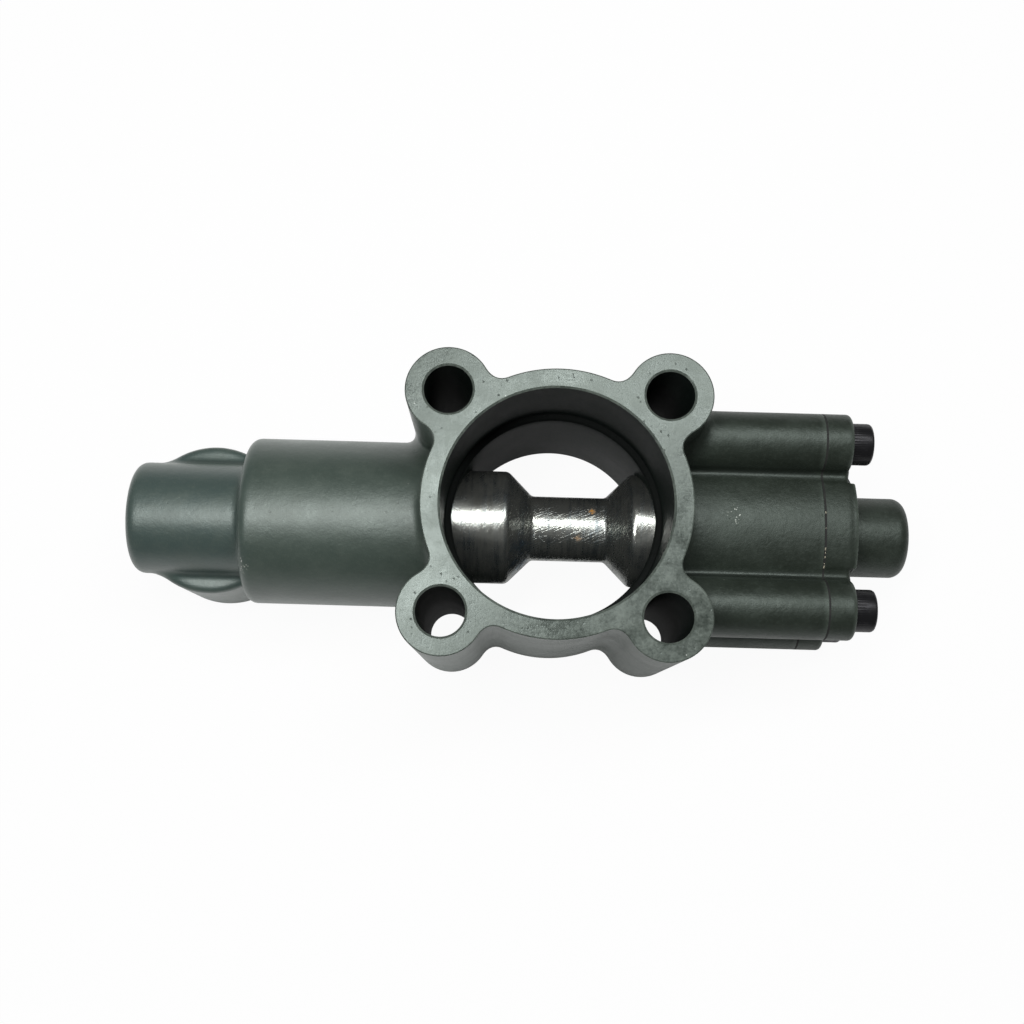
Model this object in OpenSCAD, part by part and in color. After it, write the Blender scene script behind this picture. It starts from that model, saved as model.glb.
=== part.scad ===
// Air valve that bolts between a gearbox and its gear lever housing.
// The gear lever finger stands in the waist of the shift plunger and pushes it,
// and the plunger carries the spool that sends air to the gearbox or lets it out.
// Units: mm. Origin: middle of the bolt pattern, on the lower machined face.
// +Z up the big bore, +X toward the end cover, so -X points to the nose.

/* [Flange] */
// Height of the body from lower face to upper face
body_h = 64; // [56:0.5:76]
// Distance between bolt holes, the same along X and Y
bolt_pitch = 50; // [46:0.5:56]
// Diameter of the four through bolt holes
bolt_d = 11; // [9:0.5:13]
// Radius of the ear around each bolt hole
ear_r = 9.8; // [8.5:0.1:11]
// Radius of the round wall of the flange
ring_r = 30.5; // [29.5:0.1:33]
// Radius of the hollow corners between ear and round wall
neck_r = 4; // [2:0.5:5]
// Chamfer on the mouths of bores and bolt holes
mouth_chamfer = 0.5; // [0.2:0.1:1]

/* [Big bore] */
// Diameter of the bore from the upper face down
pilot_d = 52; // [50:0.2:54]
// Depth of that bore
pilot_depth = 23.5; // [18:0.5:23.5]
// Diameter of the cast bore below it, at the lower face
lower_bore_d = 50; // [49:0.2:51.6]
// Draft of that cast bore, in degrees on each side
lower_bore_draft = 1; // [0:0.25:1.5]

/* [Tube and nose] */
// Height of the plunger axis above the lower face
axis_h = 26; // [24:0.5:30]
// Diameter of the left tube
tube_d = 41; // [38:0.5:44]
// Length of the left tube, from the round wall to its shoulder
tube_l = 44.3; // [41:0.1:48]
// Rounding of that shoulder
tube_edge_r = 2.5; // [1:0.5:4]
// Diameter of the nose
nose_d = 27.6; // [26:0.2:30]
// Length of the nose, from that shoulder to its end
nose_l = 28.2; // [25.4:0.1:31]
// Rounding of the end of the nose
nose_edge_r = 2.5; // [1:0.5:4]
// Hollow corner between nose and shoulder
nose_root_r = 2; // [1:0.5:4]

/* [Ports] */
// Distance from the end of the nose to the outlet port in the nose boss
outlet_inset = 18.5; // [17.9:0.1:19.3]
// Diameter of the nose boss
outlet_boss_d = 37; // [30:0.5:38]
// How far the nose boss reaches above the plunger axis
outlet_boss_rise = 1; // [0:0.5:2]
// Diameter of the outlet thread
outlet_thread_d = 22; // [16:1:22]
// Pitch of the outlet thread
outlet_pitch = 1.5; // [1:0.5:2]
// Distance between the outlet port and the supply port under the tube
port_spacing = 18.5; // [18.2:0.1:19.5]
// Diameter of the supply boss
supply_boss_d = 26; // [20:0.5:30]
// Diameter of the supply thread
supply_thread_d = 12; // [10:1:12]
// Pitch of the supply thread
supply_pitch = 1.5; // [1:0.5:2]
// Height of both port faces above the lower face
port_face_h = 2; // [1:0.5:4]
// Depth of the port threads
port_thread_depth = 12; // [10:0.5:13]
// Diameter of the vent in the end of the nose
vent_d = 5; // [4:0.5:6]
// Depth of the plug in the vent
vent_plug_t = 2.4; // [1.5:0.1:3]

/* [End block and cover] */
// Distance from the origin to the end face of the block
block_reach = 63.5; // [60:0.5:66]
// Radius of the round middle of the block
block_r = 20; // [19:0.25:21]
// Radius of the four lobes of the block
lobe_r = 7.1; // [6.5:0.1:8]
// Distance of the lobes from the axis along Y
lobe_y = 20; // [19:0.25:21]
// Distance of the lobes from the axis along Z
lobe_z = 16; // [15:0.25:16.5]
// Thickness of the cover gasket
gasket_t = 0.5; // [0.3:0.1:1]
// Thickness of the cover plate at its lobes
cover_t = 6.3; // [6:0.1:9]
// How far the round middle of the cover stands out from its lobes
cover_rise = 1.3; // [1:0.1:3]
// Diameter of the lower face around each cover screw
lobe_face_d = 19.4; // [17:0.2:20]
// Rounding of the edge of the cover plate
cover_edge = 0.9; // [0.4:0.1:1.5]
// Diameter of the stub on the cover
stub_d = 19.7; // [18.5:0.1:22]
// Length of the stub
stub_l = 15.4; // [13:0.1:18]
// Rounding of the end of the stub
stub_edge_r = 3; // [1:0.5:3.5]
// Thickness of the closed end of the stub
stub_wall = 5; // [3:0.5:6]
// Diameter of the cover spigot
spigot_d = 34; // [33:0.2:35]
// Length of the cover spigot
spigot_l = 6; // [4:0.2:6.2]

/* [Cover screws] */
// Diameter of the thread
screw_d = 6; // [5:1:6]
// Diameter of the head
screw_head_d = 10; // [9:0.5:11]
// Height of the head
screw_head_h = 6; // [5:0.5:7]
// Width across flats of the hexagon socket
screw_key = 5; // [4:0.5:5.5]
// Depth of the hexagon socket
screw_key_depth = 3; // [2:0.5:3.5]
// Diameter of the spot face that the head sits on
spot_d = 11.6; // [11:0.1:12.4]
// Depth of the spot face
spot_depth = 0.8; // [0.4:0.1:1.2]
// Length of the screw under its head
screw_l = 25; // [20:1:28]

/* [Shift plunger] */
// Diameter of both lands
land_d = 28; // [27:0.2:29]
// Diameter of the waist
waist_d = 16; // [14:0.5:19]
// Length of the straight part of the waist
waist_l = 18.2; // [16:0.2:20]
// Centre of the waist at rest, measured from the origin
waist_x = 4; // [3:0.25:5]
// Travel of the plunger toward the nose
travel = 8; // [6:0.5:8]
// Radial gap between land and bore
land_gap = 0.05; // [0.02:0.01:0.1]
// How far the left land reaches past the round wall at rest
land_reach = 5.5; // [4.5:0.1:6.5]
// Diameter of the spring pocket in the left land
pocket_d = 19.5; // [19:0.1:20]
// Depth of the spring pocket
pocket_depth = 10; // [8:0.5:11]
// Diameter of the right tail
tail_d = 12; // [10:0.5:12]
// Length of the right tail
tail_l = 22; // [20:0.5:24]

/* [Seals] */
// Thickness of the section of the plunger seals
seal_d = 2.5; // [2:0.1:3]
// Distance of the left plunger seal from the end of its land
seal_left_inset = 3; // [2.6:0.1:3.2]
// Distance of the right plunger seal from the end of the block, at rest
seal_right_inset = 19.5; // [17:0.5:21]
// Width of the guide rings
guide_w = 4; // [3:0.5:5]
// Thickness of the guide rings
guide_t = 1.5; // [1:0.1:2]
// Centre of the left guide ring, measured from the left seal
guide_left_offset = 4.6; // [4.4:0.1:4.6]
// Centre of the right guide ring, measured from the right seal
guide_right_offset = 5.5; // [5:0.1:6]

/* [Spool and sleeve] */
// Diameter of the spool
spool_d = 9; // [8:0.2:9.6]
// Diameter of the spool neck
spool_neck_d = 5.5; // [4.5:0.1:6]
// Radial gap between spool and sleeve
spool_gap = 0.03; // [0.02:0.01:0.05]
// Diameter of the sleeve and of the nose bore
sleeve_d = 18; // [17:0.2:19]
// Length of the nose bore, from its bottom to the shoulder that the sleeve sits on
nose_bore_l = 41; // [40:0.2:42]
// Thickness of the flange of the sleeve
sleeve_flange_t = 3; // [2.5:0.1:4]
// Inner diameter of the stop skirt on the sleeve
skirt_in_d = 20; // [19.6:0.1:22]
// Thickness of the solid end of the nose
nose_wall = 5; // [4:0.2:6]
// Section of the rings on the sleeve
sleeve_ring_d = 1.8; // [1.5:0.1:2]

/* [Return spring] */
// Thickness of the wire
wire_d = 1.8; // [1.4:0.1:1.9]
// Outer diameter of the spring
spring_d = 18.4; // [18:0.1:18.8]
// Number of free turns
spring_turns = 4.5; // [3:0.25:5]

/* [Hidden] */

// fine enough that round parts look round in a preview
$fn = 64;
// how far a cut runs past the face that it opens
over = 2;

// flange
half = bolt_pitch / 2;
ear_dist = half * sqrt(2);
ring_neck = ring_r + neck_r;
ear_neck = ear_r + neck_r;
neck_turn = acos((ring_neck * ring_neck + ear_dist * ear_dist - ear_neck * ear_neck)
    / (2 * ring_neck * ear_dist));

// how far the tube and nose reach from the origin
tube_reach = ring_r + tube_l;
nose_reach = tube_reach + nose_l;

// bores along the plunger axis
main_bore_d = land_d + 2 * land_gap;
nose_bore_end = nose_reach - nose_wall;
sleeve_seat_x = nose_bore_end - nose_bore_l;
spigot_start = block_reach - spigot_l;
spigot_gap = 0.1;
cover_x = block_reach + gasket_t;
lobe_face_x = cover_x + cover_t;
cover_end = lobe_face_x + cover_rise;
rise_edge = 0.5;
stub_end = cover_end + stub_l;

// stop washer, tail bush and the right end of the plunger
washer_t = 2.6;
washer_x = spigot_start + spigot_gap - washer_t;
washer_d = land_d - 1.2;
stop_gap = 0.1;
land_right_end = washer_x - stop_gap;
bush_wall = 1.5;
bush_start = spigot_start + spigot_gap;
bush_end = stub_end - stub_wall;
tail_gap = 0.05;
bush_d = tail_d + 2 * tail_gap + 2 * bush_wall;
tail_end = land_right_end + tail_l;
tail_chamfer = 1;

// ends and seals of the lands
land_left_end = ring_r + land_reach;
seal_left_x = land_left_end - seal_left_inset;
seal_right_x = block_reach - seal_right_inset;

// waist
waist_left = waist_x - waist_l / 2;
waist_right = waist_x + waist_l / 2;
waist_cone = (land_d - waist_d) / 2;
groove_bottom_d = land_d - 1.6 * seal_d;

// screws
screw_gap = 0.1;
screw_seat = lobe_face_x - spot_depth;
screw_tip = screw_seat - screw_l;
hole_tip = screw_tip - 2;
head_gap = 0.4;

// ports
outlet_x = nose_reach - outlet_inset;
supply_x = outlet_x - port_spacing;
outlet_drill_d = outlet_thread_d - 1.0825 * outlet_pitch;
supply_drill_d = supply_thread_d - 1.0825 * supply_pitch;

// galleries around the sleeve, each above the nearer edge of its port
gallery_w = 6;
gallery_d = sleeve_d - 3;
slot_w = 3;
outlet_slot_x = outlet_x - 5;
supply_slot_x = supply_x - 2;

// sleeve with its rings beside the galleries
sleeve_end = nose_bore_end - 1;
relief_d = spool_d + 3;
flange_face = sleeve_seat_x - sleeve_flange_t;
skirt_end = land_left_end + travel + stop_gap;
skirt_d = main_bore_d - 0.2;
ring_x = [supply_slot_x - 4.7, supply_slot_x + 5.5, sleeve_end - 4];
stem_seal_x = flange_face + 1.6;
stem_seal_w = 1.8;
stem_seal_d = spool_d + 4;

// spool at rest: its neck joins both galleries, and its left land stops short of the relief
spool_left_land = 4.5;
relief_margin = 2;
spool_left = outlet_slot_x + slot_w / 2 + 2.5 + spool_left_land;
relief_x = spool_left + relief_margin;
spool_neck_end = supply_slot_x - slot_w / 2 - 1;
spool_root = land_left_end - pocket_depth;
spool_spigot_d = 6;
spool_spigot_l = 10;
spigot_hole_room = 1;
spool_bore_d = spool_d + 2 * spool_gap;
spool_ring_d = 1.5;
spool_ring_x = spool_left - spool_left_land / 2;

// lock nut and spring seat
nut_af = spool_d + 2;
nut_t = 4;
seat_t = 1;
seat_in_d = spring_d - 2 * wire_d - 0.2;

// put a shape drawn along +Z onto the plunger axis, so that its +Z points to +X
module on_axis() {
    translate([0, 0, axis_h])
        rotate([0, 90, 0]) children();
}

// round bar along the plunger axis from x0 to x1
module bar(x0, x1, d) {
    on_axis()
        translate([0, 0, x0]) cylinder(h = x1 - x0, d = d);
}

// cone along the plunger axis
module taper(x0, x1, d0, d1) {
    on_axis()
        translate([0, 0, x0]) cylinder(h = x1 - x0, d1 = d0, d2 = d1);
}

// ring of round section around the plunger axis
module round_ring(x, inner_d, section_d) {
    on_axis()
        translate([0, 0, x])
            rotate_extrude() translate([inner_d / 2 + section_d / 2, 0]) circle(d = section_d);
}

// flat ring along the plunger axis
module flat_ring(x0, x1, d_out, d_in) {
    difference() {
        bar(x0, x1, d_out);
        bar(x0 - over, x1 + over, d_in);
    }
}

// round bar from z = 0 to h whose upper outer edge is rounded
module rounded_bar(h, d, r) {
    rotate_extrude() {
        square([d / 2 - r, h]);
        square([d / 2, h - r]);
        translate([d / 2 - r, h - r]) circle(r = r);
    }
}

// places at the four bolt holes
module at_bolts() {
    for (sx = [-1, 1], sy = [-1, 1])
        translate([sx * half, sy * half, 0]) children();
}

// places at the four lobes, drawn along +X
module at_lobes(x) {
    for (sy = [-1, 1], sz = [-1, 1])
        translate([x, sy * lobe_y, axis_h + sz * lobe_z])
            rotate([0, 90, 0]) children();
}

// hollow corner between one ear and the round wall
module neck_corner() {
    difference() {
        polygon([[0, 0], [ear_dist, 0], [ring_neck * cos(neck_turn), ring_neck * sin(neck_turn)]]);
        translate([ring_neck * cos(neck_turn), ring_neck * sin(neck_turn)]) circle(r = neck_r);
    }
}

// outline of the flange
module flange_outline() {
    circle(r = ring_r);
    for (a = [45, 135, 225, 315])
        rotate(a) {
            translate([ear_dist, 0]) circle(r = ear_r);
            neck_corner();
            mirror([0, 1]) neck_corner();
        }
}

// four lobes from x0 to x1, with both end edges chamfered by c0 and c1
module chamfered_lobes(x0, x1, c0, c1) {
    at_lobes(0) {
        translate([0, 0, x0]) cylinder(h = c0 + 0.001, r1 = lobe_r - c0, r2 = lobe_r);
        translate([0, 0, x0 + c0]) cylinder(h = x1 - x0 - c0 - c1, r = lobe_r);
        translate([0, 0, x1 - c1 - 0.001]) cylinder(h = c1 + 0.001, r1 = lobe_r, r2 = lobe_r - c1);
    }
}

// round middle of the block and cover, chamfered in the same way
module chamfered(x0, x1, r, c0, c1) {
    taper(x0, x0 + c0 + 0.001, 2 * (r - c0), 2 * r);
    bar(x0 + c0, x1 - c1, 2 * r);
    taper(x1 - c1 - 0.001, x1, 2 * r, 2 * (r - c1));
}

// outline of the block: a round middle with four lobes
module lobed_plain(x0, x1) {
    bar(x0, x1, 2 * block_r);
    at_lobes(x0) cylinder(h = x1 - x0, r = lobe_r);
}

// countersunk mouth of a port, drawn upward from below its face
module port_mouth(thread_d, drill_d) {
    depth = (thread_d + 1 - drill_d) / 2;
    cylinder(h = over + depth, d1 = thread_d + 1 + 2 * over, d2 = drill_d);
}

// countersunk mouth of a bore in the lower face
module lower_mouth(d) {
    translate([0, 0, -over]) cylinder(h = over + mouth_chamfer, d1 = d + 2 * (over + mouth_chamfer), d2 = d);
}

// cast bore below the pilot bore, widest at the lower face
module lower_bore() {
    translate([0, 0, -over])
        cylinder(h = body_h, d1 = lower_bore_at(-over), d2 = lower_bore_at(body_h - over));
}

// diameter of the cast bore at height z
function lower_bore_at(z) = lower_bore_d - 2 * (z - mouth_chamfer) * tan(lower_bore_draft);

// countersunk mouth of a bore in the upper face
module upper_mouth(d) {
    translate([0, 0, body_h - mouth_chamfer])
        cylinder(h = over + mouth_chamfer, d1 = d, d2 = d + 2 * (over + mouth_chamfer));
}

// tube and nose with their rounded shoulders, turned about the plunger axis
module tube_and_nose() {
    translate([0, 0, axis_h])
        rotate([0, -90, 0]) {
            rounded_bar(tube_reach, tube_d, tube_edge_r);
            rounded_bar(nose_reach, nose_d, nose_edge_r);
            translate([0, 0, tube_reach])
                rotate_extrude()
                    difference() {
                        square([nose_d / 2 + nose_root_r, nose_root_r]);
                        translate([nose_d / 2 + nose_root_r, nose_root_r]) circle(r = nose_root_r);
                    }
        }
}

// the casting with its machined faces and bores
module valve_body() {
    color("darkolivegreen")
        difference() {
            union() {
                linear_extrude(body_h) flange_outline();
                tube_and_nose();
                lobed_plain(0, block_reach);
                translate([-outlet_x, 0, port_face_h])
                    rounded_bar(axis_h + outlet_boss_rise - port_face_h, outlet_boss_d, 2);
                translate([-supply_x, 0, port_face_h])
                    cylinder(h = axis_h - port_face_h, d = supply_boss_d);
            }
            // big bore with its ledge
            translate([0, 0, body_h - pilot_depth]) cylinder(h = pilot_depth + over, d = pilot_d);
            lower_bore();
            upper_mouth(pilot_d);
            lower_mouth(lower_bore_d);
            // bolt holes
            at_bolts() {
                translate([0, 0, -over]) cylinder(h = body_h + 2 * over, d = bolt_d);
                upper_mouth(bolt_d);
                lower_mouth(bolt_d);
            }
            // bores along the plunger axis
            bar(-sleeve_seat_x, block_reach + over, main_bore_d);
            bar(-nose_bore_end, -sleeve_seat_x + over, sleeve_d + 2 * spigot_gap);
            bar(spigot_start, block_reach + over, spigot_d + 2 * spigot_gap);
            bar(-nose_reach - over, -nose_bore_end + over, vent_d - 1);
            bar(-nose_reach - over, -nose_reach + vent_plug_t, vent_d);
            // tapped holes for the cover screws
            at_lobes(hole_tip) cylinder(h = block_reach - hole_tip + over, d = screw_d + 2 * screw_gap);
            // ports
            translate([-outlet_x, 0, port_face_h - over]) {
                cylinder(h = port_thread_depth + over, d = outlet_drill_d);
                port_mouth(outlet_thread_d, outlet_drill_d);
            }
            translate([-outlet_slot_x, 0, 0]) cylinder(h = axis_h, d = gallery_w);
            translate([-supply_x, 0, port_face_h - over]) {
                cylinder(h = port_thread_depth + over, d = supply_drill_d);
                port_mouth(supply_thread_d, supply_drill_d);
            }
            translate([-supply_slot_x, 0, 0]) cylinder(h = axis_h, d = gallery_w);
        }
}

// cover plate with its stub and spigot
module end_cover() {
    color("olivedrab")
        difference() {
            union() {
                chamfered_lobes(cover_x, lobe_face_x, 0.3, cover_edge);
                chamfered(cover_x, cover_end, block_r, 0.3, rise_edge);
                translate([cover_end - 1, 0, axis_h])
                    rotate([0, 90, 0]) rounded_bar(stub_l + 1, stub_d, stub_edge_r);
                bar(spigot_start + spigot_gap, cover_x + 1, spigot_d);
            }
            bar(spigot_start - over, bush_end, bush_d);
            at_lobes(cover_x - over) cylinder(h = cover_t + 2 * over, d = screw_d + 2 * head_gap);
            at_lobes(screw_seat) cylinder(h = spot_depth + cover_rise + over, d = spot_d);
            at_lobes(lobe_face_x) cylinder(h = cover_rise + over, d = lobe_face_d);
        }
}

// flat gasket between block and cover
module cover_gasket() {
    color("dimgray")
        difference() {
            lobed_plain(block_reach, cover_x);
            bar(block_reach - over, cover_x + over, spigot_d + 2 * spigot_gap);
            at_lobes(block_reach - over) cylinder(h = gasket_t + 2 * over, d = screw_d + 2 * head_gap);
        }
}

// crumbs of sealant pressed out of the joint, on top of the round middle of the block
module sealant_squeeze() {
    joint_mid = (block_reach + cover_x) / 2;
    color("whitesmoke")
        for (s = [[-9, 1.1], [2, 1.5], [7, 0.9], [14, 1.2]])
            intersection() {
                flat_ring(joint_mid - s[1] / 2, joint_mid + s[1] / 2, 2 * block_r + s[1], 2 * block_r);
                translate([joint_mid, 0, axis_h])
                    rotate([s[0], 0, 0])
                        translate([-over, -s[1] / 2, block_r - over]) cube([2 * over, s[1], 2 * over]);
            }
}

// four socket head screws
module cover_screws() {
    color("black")
        at_lobes(0)
            difference() {
                union() {
                    translate([0, 0, screw_seat]) cylinder(h = screw_head_h - 0.5, d = screw_head_d);
                    translate([0, 0, screw_seat + screw_head_h - 0.501])
                        cylinder(h = 0.501, d1 = screw_head_d, d2 = screw_head_d - 1);
                    translate([0, 0, screw_tip]) cylinder(h = screw_l + 1, d = screw_d);
                }
                translate([0, 0, screw_seat + screw_head_h - screw_key_depth])
                    cylinder(h = screw_key_depth + over, d = screw_key / cos(30), $fn = 6);
            }
}

// soft washer that the plunger rests against
module stop_washer() {
    color("saddlebrown") flat_ring(washer_x, washer_x + washer_t, washer_d, bush_d);
}

// bush that guides the right tail
module tail_bush() {
    color("peru") flat_ring(bush_start, bush_end, bush_d, tail_d + 2 * tail_gap);
}

// groove in a land for a seal or guide ring
module land_groove(x, w, d) {
    flat_ring(x - w / 2, x + w / 2, land_d + over, d);
}

// plunger with both lands, the waist with its cones, the spring pocket and the right tail
module shift_plunger() {
    color("silver")
        difference() {
            union() {
                bar(-land_left_end, waist_left - waist_cone, land_d);
                taper(waist_left - waist_cone, waist_left, land_d, waist_d);
                bar(waist_left, waist_right, waist_d);
                taper(waist_right, waist_right + waist_cone, waist_d, land_d);
                bar(waist_right + waist_cone, land_right_end, land_d);
                bar(land_right_end, tail_end - tail_chamfer, tail_d);
                taper(tail_end - tail_chamfer, tail_end, tail_d, tail_d - 2 * tail_chamfer);
            }
            land_groove(-seal_left_x, 1.2 * seal_d, groove_bottom_d);
            land_groove(seal_right_x, 1.2 * seal_d, groove_bottom_d);
            land_groove(-seal_left_x + guide_left_offset, guide_w + 0.1, land_d - 2 * guide_t);
            land_groove(seal_right_x - guide_right_offset, guide_w + 0.1, land_d - 2 * guide_t);
            bar(-land_left_end - over, -spool_root, pocket_d);
            bar(-spool_root - over, -spool_root + spool_spigot_l + spigot_hole_room,
                spool_spigot_d + spigot_gap);
        }
}

// round seal in a groove of a land, squeezed flat where it meets the bore
module land_seal(x) {
    flat_ring(x - seal_d / 2, x + seal_d / 2, land_d + land_gap, groove_bottom_d);
}

module plunger_seal_left() {
    color("black") land_seal(-seal_left_x);
}

module plunger_seal_right() {
    color("black") land_seal(seal_right_x);
}

// guide ring let into a land
module guide_ring(x) {
    flat_ring(x - guide_w / 2, x + guide_w / 2, land_d + land_gap, land_d - 2 * guide_t);
}

module guide_ring_left() {
    color("darkslategray") guide_ring(-seal_left_x + guide_left_offset);
}

module guide_ring_right() {
    color("darkslategray") guide_ring(seal_right_x - guide_right_offset);
}

// spool with its left land, neck and stem, screwed into the plunger
module valve_spool() {
    color("lightgray")
        difference() {
            union() {
                bar(-spool_left, -spool_left + spool_left_land, spool_d);
                bar(-spool_left + spool_left_land - 0.5, -spool_neck_end + 0.5, spool_neck_d);
                bar(-spool_neck_end, -spool_root, spool_d);
                bar(-spool_root - 0.5, -spool_root + spool_spigot_l, spool_spigot_d);
            }
            flat_ring(-spool_ring_x - 0.9, -spool_ring_x + 0.9, spool_d + over, spool_d - 2.4);
        }
}

// ring on the left land of the spool
module spool_seal() {
    color("black")
        flat_ring(-spool_ring_x - spool_ring_d / 2, -spool_ring_x + spool_ring_d / 2,
            spool_d + spool_gap, spool_d - 2.4);
}

// nut that locks the spool in the bottom of the spring pocket
module spool_lock_nut() {
    color("goldenrod")
        difference() {
            on_axis()
                translate([0, 0, -spool_root - nut_t])
                    cylinder(h = nut_t, d = nut_af / cos(30), $fn = 6);
            bar(-spool_root - nut_t - over, -spool_root + over, spool_d + 0.1);
        }
}

// washer under the right end of the spring
module spring_seat_washer() {
    color("gray") flat_ring(-spool_root - seat_t, -spool_root, pocket_d - 0.4, seat_in_d);
}

// return spring between the washer in the plunger and the flange of the sleeve
module return_spring() {
    spring_a = -flange_face;
    spring_b = -spool_root - seat_t;
    mean_r = (spring_d - wire_d) / 2;
    free = spring_b - spring_a - 3 * wire_d;
    steps = 20;
    turns = spring_turns + 2;
    color("slategray")
        on_axis()
            translate([0, 0, spring_a + wire_d / 2])
                for (i = [0 : steps * turns - 1]) {
                    a0 = i * 360 / steps;
                    a1 = (i + 1) * 360 / steps;
                    z0 = spring_height(i / steps, turns, free);
                    z1 = spring_height((i + 1) / steps, turns, free);
                    wire_piece(a0, a1, z0, z1, mean_r);
                }
}

// height of the wire after t turns, with one closed turn at each end
function spring_height(t, turns, free) =
    t < 1 ? wire_d * t
    : t > turns - 1 ? wire_d + free + wire_d * (t - turns + 1)
    : wire_d + free * (t - 1) / (turns - 2);

// one short piece of wire between two turns of the coil
module wire_piece(a0, a1, z0, z1, r) {
    hull() {
        rotate(a0) translate([r, 0, z0]) rotate([90, 0, 0]) cylinder(h = 0.01, d = wire_d, $fn = 8);
        rotate(a1) translate([r, 0, z1]) rotate([90, 0, 0]) cylinder(h = 0.01, d = wire_d, $fn = 8);
    }
}

// sleeve that the spool runs in, with its flange, stop skirt, galleries and slots
module valve_sleeve() {
    color("burlywood")
        difference() {
            union() {
                bar(-sleeve_end, -sleeve_seat_x + 1, sleeve_d);
                bar(-sleeve_seat_x, -flange_face, skirt_d);
                flat_ring(-flange_face - 0.5, -skirt_end, skirt_d, skirt_in_d);
            }
            bar(-sleeve_end - over, -flange_face + over, spool_bore_d);
            bar(-sleeve_end - over, -relief_x, relief_d);
            // galleries around the sleeve, each with four holes to the spool
            for (x = [supply_slot_x, outlet_slot_x]) {
                flat_ring(-x - gallery_w / 2, -x + gallery_w / 2, sleeve_d + over, gallery_d);
                for (a = [0, 90, 180, 270])
                    translate([-x, 0, axis_h])
                        rotate([a, 0, 0]) cylinder(h = sleeve_d, d = slot_w);
            }
            for (x = ring_x)
                flat_ring(-x - 0.6 * sleeve_ring_d, -x + 0.6 * sleeve_ring_d, sleeve_d + over,
                    sleeve_d - 1.6 * sleeve_ring_d);
            bar(-stem_seal_x - stem_seal_w / 2 - 0.05, -stem_seal_x + stem_seal_w / 2 + 0.05, stem_seal_d);
        }
}

// three round rings that part the galleries
module sleeve_o_rings() {
    color("black")
        for (x = ring_x)
            flat_ring(-x - sleeve_ring_d / 2, -x + sleeve_ring_d / 2, sleeve_d + 1.5 * spigot_gap,
                sleeve_d - 1.6 * sleeve_ring_d);
}

// seal around the stem of the spool
module stem_seal() {
    color("black")
        flat_ring(-stem_seal_x - stem_seal_w / 2, -stem_seal_x + stem_seal_w / 2, stem_seal_d, spool_bore_d);
}

// porous plug in the vent
module vent_filter() {
    color("peru") bar(-nose_reach + 0.2, -nose_reach + vent_plug_t, vent_d);
}

valve_body();
end_cover();
cover_gasket();
sealant_squeeze();
cover_screws();
stop_washer();
tail_bush();
shift_plunger();
plunger_seal_left();
plunger_seal_right();
guide_ring_left();
guide_ring_right();
valve_spool();
spool_seal();
spool_lock_nut();
spring_seat_washer();
return_spring();
valve_sleeve();
sleeve_o_rings();
stem_seal();
vent_filter();
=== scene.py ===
"""Looks of an air valve that bolts between a gearbox and its gear lever housing.

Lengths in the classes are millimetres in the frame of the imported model: origin in the
middle of the bolt pattern on the lower face, +Z up the big bore, +X toward the end cover.
"""

import logging
import math
from dataclasses import dataclass
from enum import Enum
from typing import Iterable, Optional, Sequence, Union

import bmesh
import bpy
import numpy as np
from mathutils import Matrix, Vector


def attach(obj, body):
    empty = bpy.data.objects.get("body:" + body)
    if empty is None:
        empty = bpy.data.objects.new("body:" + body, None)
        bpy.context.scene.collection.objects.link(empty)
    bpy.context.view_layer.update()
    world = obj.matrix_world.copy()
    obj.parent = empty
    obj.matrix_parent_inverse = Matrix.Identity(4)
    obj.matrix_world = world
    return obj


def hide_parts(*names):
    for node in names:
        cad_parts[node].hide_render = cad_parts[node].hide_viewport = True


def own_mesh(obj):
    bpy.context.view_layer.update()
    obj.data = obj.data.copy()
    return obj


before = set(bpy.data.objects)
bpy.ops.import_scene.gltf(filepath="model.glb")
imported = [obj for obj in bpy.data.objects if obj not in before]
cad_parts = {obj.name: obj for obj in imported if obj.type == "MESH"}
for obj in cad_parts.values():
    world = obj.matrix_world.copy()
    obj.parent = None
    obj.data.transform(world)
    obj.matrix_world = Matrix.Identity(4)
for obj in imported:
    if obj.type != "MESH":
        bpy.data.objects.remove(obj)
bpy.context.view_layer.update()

LOG = logging.getLogger("air_valve")
MM = 0.001
TURN = 2.0 * math.pi
BEND = "bend"
# half of the angle, in radians, at which a corner of a profile counts as straight
STRAIGHT = 1.55
# lengths in millimetres between which an edge tells how the surface bends
SHORTEST, LONGEST = 0.2, 2.0
BODY_HOUSING = "housing"
BODY_PLUNGER = "plunger"
Number = Union[int, float]
Point2 = tuple[float, float]
Point3 = tuple[float, float, float]
Colour = tuple[float, float, float]


class Axis(Enum):
    """Direction that a turned shape is drawn along."""

    X = Matrix.Rotation(math.radians(90.0), 4, "Y")
    Z = Matrix.Identity(4)


# shader maths


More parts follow.
